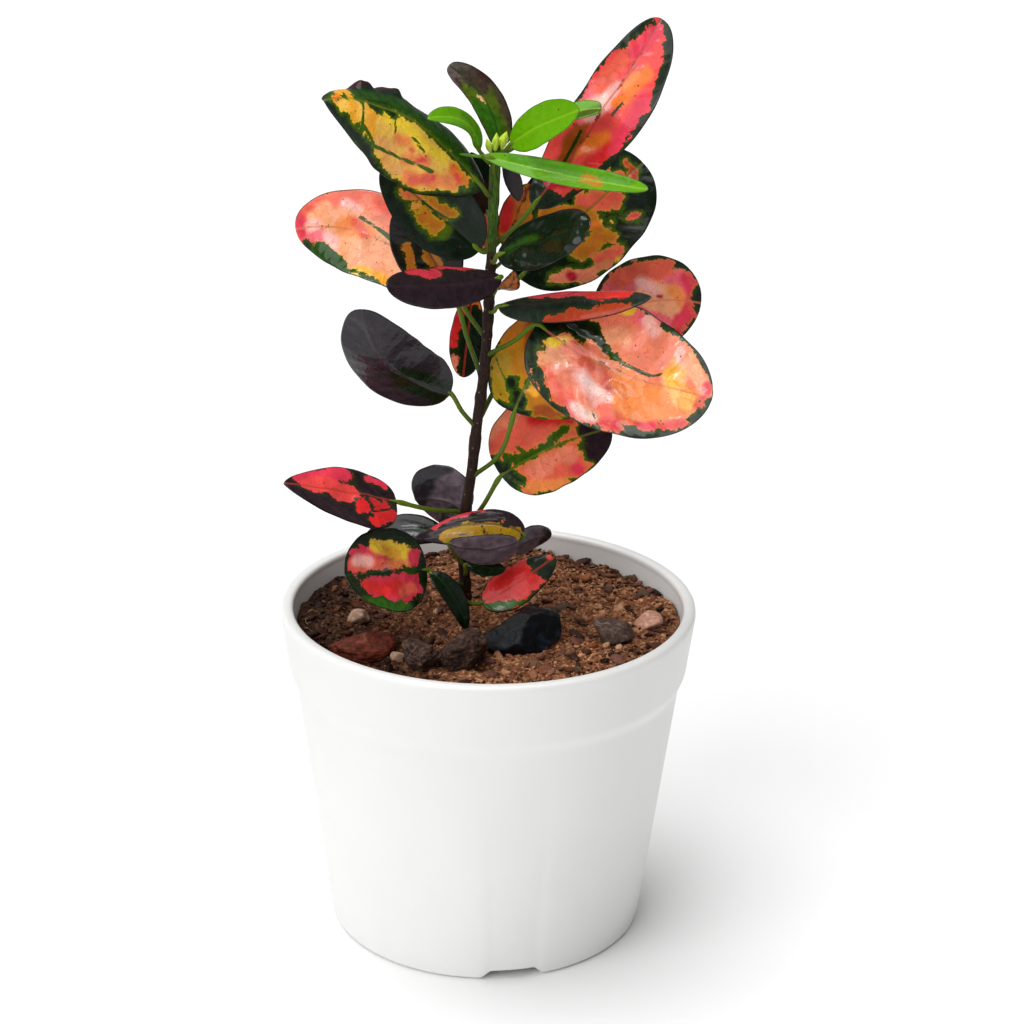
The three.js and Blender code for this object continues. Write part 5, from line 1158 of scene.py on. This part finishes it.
def build_leaf(leaf, number):
    """One leaf: a blade in one closed skin, cupped and ruffled round its rib, and its tapered stalk."""
    base, mid, tip = (np.array(leaf[k], float) for k in ("base", "mid", "tip"))
    bend = 2 * mid - (base + tip) / 2
    width = leaf["width"]
    length = np.linalg.norm(mid - base) + np.linalg.norm(tip - mid)
    rows, half_columns = max(26, round(length / ROW_STEP)), max(8, round(width / COLUMN_STEP))
    turns = [radians(a) for a in np.random.default_rng(number).uniform(0, 360, 6)]

    # Rows crowd towards the ends and columns towards the rib and the edge
    even = np.linspace(0.002, 0.998, rows)
    u = (0.55 * even + 0.45 * (1 - np.cos(pi * even)) / 2)[:, None]
    x = np.linspace(0, 1, half_columns + 1)
    half_v = x - 0.62 * np.sin(2 * pi * x) / (2 * pi)
    v = np.concatenate([-half_v[:0:-1], half_v])[None, :]

    rib = (1 - u) ** 2 * base + 2 * u * (1 - u) * bend + u * u * tip
    along = (1 - u) * (bend - base) + u * (tip - bend)
    along /= np.linalg.norm(along, axis=1, keepdims=True)
    faces_way = np.array(leaf["faces"], float)
    up = faces_way - along * (along @ faces_way)[:, None]
    up /= np.linalg.norm(up, axis=1, keepdims=True)
    swing = radians(leaf.get("twist", 0)) * (u - 0.5)
    up = up * np.cos(swing) + np.cross(along, up) * np.sin(swing)
    across = np.cross(up, along)
    taper = fullness(leaf, u)
    half = width / 2 * taper * (1 + leaf.get("lop", 0) * np.sign(v))
    half = half * (1 + 0.018 * np.sin(9 * u + 2 * np.sign(v) + turns[0]) + 0.008 * np.sin(31 * u + turns[1]))
    curl = radians(leaf["cup"]) * v
    turn = radians(leaf["cup"])
    ruffle = leaf.get("wave", 0) * np.sin(leaf.get("waves", 3) * 2 * pi * u + v) * v * v * taper
    s, t = u * length + 0 * v, half * v
    size = min(1, width / 25)

    # Side veins leave the rib on both sides in turn and bend forward; the blade puffs up between them
    phase = (s - VEIN_LEAN * np.abs(t) - 0.012 * t * t) / (VEIN_SPACING * max(0.55, size)) + 0.5 * (v > 0)
    beside = np.abs(phase - np.round(phase)) * VEIN_SPACING
    edge = np.minimum(half * (1 - np.abs(v)), np.minimum(s, length - s) + 0.2 * half * (1 - np.abs(v)))
    quiet = eased_step(0.3, 3, np.abs(t)) * eased_step(0, 2.5, edge) * size
    puff = FIELD_PUFF * (1 - np.exp(-(beside / 1.5) ** 2)) * quiet
    roll = 0.5 * size * (np.sin(s / 7 + turns[0]) * np.sin(t / 6 + turns[1])
                         + 0.6 * np.sin(s / 4.2 + t / 5 + turns[2]))
    for bulge_u, bulge_v, reach, rise in leaf.get("bulges", ()):
        away = np.hypot(s - bulge_u * length, t - width / 2 * fullness(leaf, bulge_u) * bulge_v)
        roll = roll + rise * eased_step(reach, 0.25 * reach, away) / taper.clip(0.4)
    for u0, v0, u1, v1, breadth, rise in leaf.get("creases", ()):
        inside = stroke(leaf, length, u0, v0, u1, v1, s, t)
        roll = roll + rise * np.exp(-(inside / breadth) ** 2) / taper.clip(0.4)
    groove_depth = 0.1 if leaf["finish"] in ("coral", "flame") else 0.3
    groove = groove_depth * size * np.exp(-(t / 0.7) ** 2) * (1 - 0.5 * u)
    ridge = RIB_RIDGE * size * np.exp(-(t / 0.75) ** 2) * (1 - 0.75 * u)
    rounded = np.sqrt(np.maximum(0, 1 - np.abs(v) ** 14))
    thick = LEAF_THICKNESS / 2 * rounded * np.minimum(1, edge * 2 + 0.25 * (np.abs(v) < 1))
    middle = (rib[:, None] + across[:, None] * (half * np.sin(curl) / turn)[..., None]
              + up[:, None] * (half * (1 - np.cos(curl)) / turn + ruffle)[..., None])
    normal = up[:, None] * np.cos(curl)[..., None] - across[:, None] * np.sin(curl)[..., None]
    if "crimp" in leaf:
        start, stop, side, lift = leaf["crimp"]
        hump = eased_step(start, start + 0.08, u) * eased_step(stop, stop - 0.12, u)
        hump = hump * eased_step(0.35, 1, v * side)
        crumple = 0.7 + 0.4 * np.sin(u * 37 + 1.5) + 0.12 * np.sin(u * 91)
        middle = middle + up[:, None] * (lift * hump * crumple)[..., None]
    top = middle + normal * (puff + roll * taper - groove + thick)[..., None]
    bottom = middle + normal * (puff + roll * taper - thick - ridge * (np.abs(v) < 1))[..., None]

    # One ring of points for each row: over the upper skin, then back along the underside
    columns = v.shape[1]
    ring = 2 * columns - 2

    def around(field):
        """A field's values for both skins, with those of the two end points."""
        field = np.concatenate([field, field[:, -2:0:-1]], 1).reshape(rows * ring, *field.shape[2:])
        return np.concatenate([field, field[:1], field[-1:]])

    layers = leaf_pigments(leaf, length, u, v, s, t, edge, turns)
    layers |= {"s": s, "t": t, "vein": phase, "rim": edge}
    layers = {name: around(field) for name, field in layers.items()}
    points = np.concatenate([top, bottom[:, -2:0:-1]], 1).reshape(-1, 3)
    points = np.vstack([points, base[None], tip[None]])
    count = rows * ring
    faces = [(r + c, r + (c + 1) % ring, r + ring + (c + 1) % ring, r + ring + c)
             for r in range(0, count - ring, ring) for c in range(ring)]
    faces += [(count, (c + 1) % ring, c) for c in range(ring)]
    faces += [(count - ring + c, count - ring + (c + 1) % ring, count + 1) for c in range(ring)]
    skin_of_face = [0 if c < columns - 1 else 1 for _ in range(rows + 1) for c in range(ring)]

    near, far = STALK_RUN_IN, 1 - STALK_RUN_IN
    run_in = far ** 2 * base + 2 * near * far * bend + near ** 2 * tip - up[0] * 0.35
    stalk_points, stalk_faces, gone = leaf_stalk(leaf, base, run_in, len(points))
    out = np.concatenate([np.repeat(gone, STALK_SIDES), gone[:1], gone[-1:]])
    round_stalk = np.tile(np.arange(STALK_SIDES) * STALK_SIDE_WIDTH, len(gone))
    stalk_layers = {"s": out, "t": np.append(round_stalk, [0, 0]), "green": out / gone[-1]}
    stalk_layers |= {name: np.ones(len(out)) for name in ("vein", "rim", "thread")}
    stalk_layers |= {name: np.tile(linear("#7f9a24"), (len(out), 1)) for name in ("warm", "dark")}
    layers = {name: np.concatenate([field, stalk_layers[name]]) for name, field in layers.items()}
    points = np.vstack([points, stalk_points])
    faces += stalk_faces
    skin_of_face += [2] * len(stalk_faces)

    own = {"lime": young_underside, "plum": upper_skins["plum"], "slate": upper_skins["slate"]}
    below = own.get(leaf["finish"], dull_underside)
    piece = make_piece(leaf["name"] + "_blade_and_stalk", points, faces,
                       [upper_skins[leaf.get("skin", leaf["finish"])], below, stalk_finish], skin_of_face)
    flat = np.stack([layers["s"] + number * FLAT_STRETCH, layers["t"] + FLAT_RIB, 0 * layers["s"]], 1) * MM
    paint(piece, "flat", "FLOAT_VECTOR", flat)
    for name in ("green", "vein", "rim", "thread"):
        paint(piece, name, "FLOAT", layers[name])
    for name in ("warm", "dark"):
        paint(piece, name, "FLOAT_COLOR", layers[name])
    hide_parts("leaf_" + leaf["name"])


for number, leaf in enumerate(leaves):
    build_leaf(leaf, number)


# Studio
# A seamless white floor under two large soft lights, one from the upper left and one from above, with
# white walls around. Two narrow lamps are the bright middles of those lights, seen only in the wax.

floor_finish, tree, result = new_finish("white_paper_backdrop")
where = add(tree, "TexCoord").outputs["Object"]
fibres = add(tree, "TexNoise", {"Vector": where, "Scale": 1 / (120 * MM), "Detail": 2.0})
paper = add(tree, "Mix", {"Factor": fibres.outputs["Fac"], "A": linear("#fafafa"), "B": linear("#f8f8f8")},
            data_type="RGBA")
shader = add(tree, "BsdfPrincipled", {"Base Color": paper, "Roughness": 0.9, "IOR": 1.4,
                                      "Specular IOR Level": 0.2})
tree.links.new(shader.outputs[0], result.inputs[0])
FLOOR_HALF = 12.0
floor_corners = [(x * FLOOR_HALF, y * FLOOR_HALF, 0) for x, y in ((-1, -1), (1, -1), (1, 1), (-1, 1))]
floor_mesh = bpy.data.meshes.new("studio_floor")
floor_mesh.from_pydata(floor_corners, [], [(0, 1, 2, 3)])
floor_mesh.materials.append(floor_finish)
floor = bpy.data.objects.new("studio_floor", floor_mesh)
bpy.context.collection.objects.link(floor)

world = bpy.data.worlds.new("white_studio")
bpy.context.scene.world = world
world.use_nodes = True
walls = world.node_tree.nodes["Background"]
walls.inputs["Color"].default_value = (1, 1, 1, 1)
walls.inputs["Strength"].default_value = 0.2

# Each lamp: its name, its strength, its spread in degrees and the way to it
studio_lamps = [
    ("key_softbox", 0.45, 48, (-0.62, -0.72, 0.62)), ("top_softbox", 0.74, 50, (-0.15, 0.1, 1)),
    ("key_glint", 0.07, 9, (-0.5, -0.75, 0.6)), ("top_glint", 0.11, 9, (-0.25, -0.1, 1)),
]
for name, strength, spread, aim in studio_lamps:
    light = bpy.data.lights.new(name, "SUN")
    light.energy, light.angle = strength * pi, radians(spread)
    lamp = bpy.data.objects.new(name, light)
    lamp.visible_diffuse = name.endswith("softbox")
    lamp.rotation_euler = Vector(aim).to_track_quat("Z", "Y").to_euler()
    bpy.context.collection.objects.link(lamp)

camera_data = bpy.data.cameras.new("camera")
camera_data.sensor_width = 36
camera_data.lens = 89.54
camera = bpy.data.objects.new("camera", camera_data)
elevation, roll, distance = radians(21.1), radians(0.75), 0.910
target = Vector((8.1, 0, 157.8)) * MM
forward = Vector((0, cos(elevation), -sin(elevation)))
level, upright = Vector((1, 0, 0)), Vector((0, sin(elevation), cos(elevation)))
right = level * cos(roll) + upright * sin(roll)
above = upright * cos(roll) - level * sin(roll)
camera.matrix_world = Matrix((right, above, -forward)).transposed().to_4x4()
camera.location = target - forward * distance
bpy.context.collection.objects.link(camera)
bpy.context.scene.camera = camera
bpy.context.scene.view_settings.view_transform = "Standard"

bpy.context.view_layer.update()
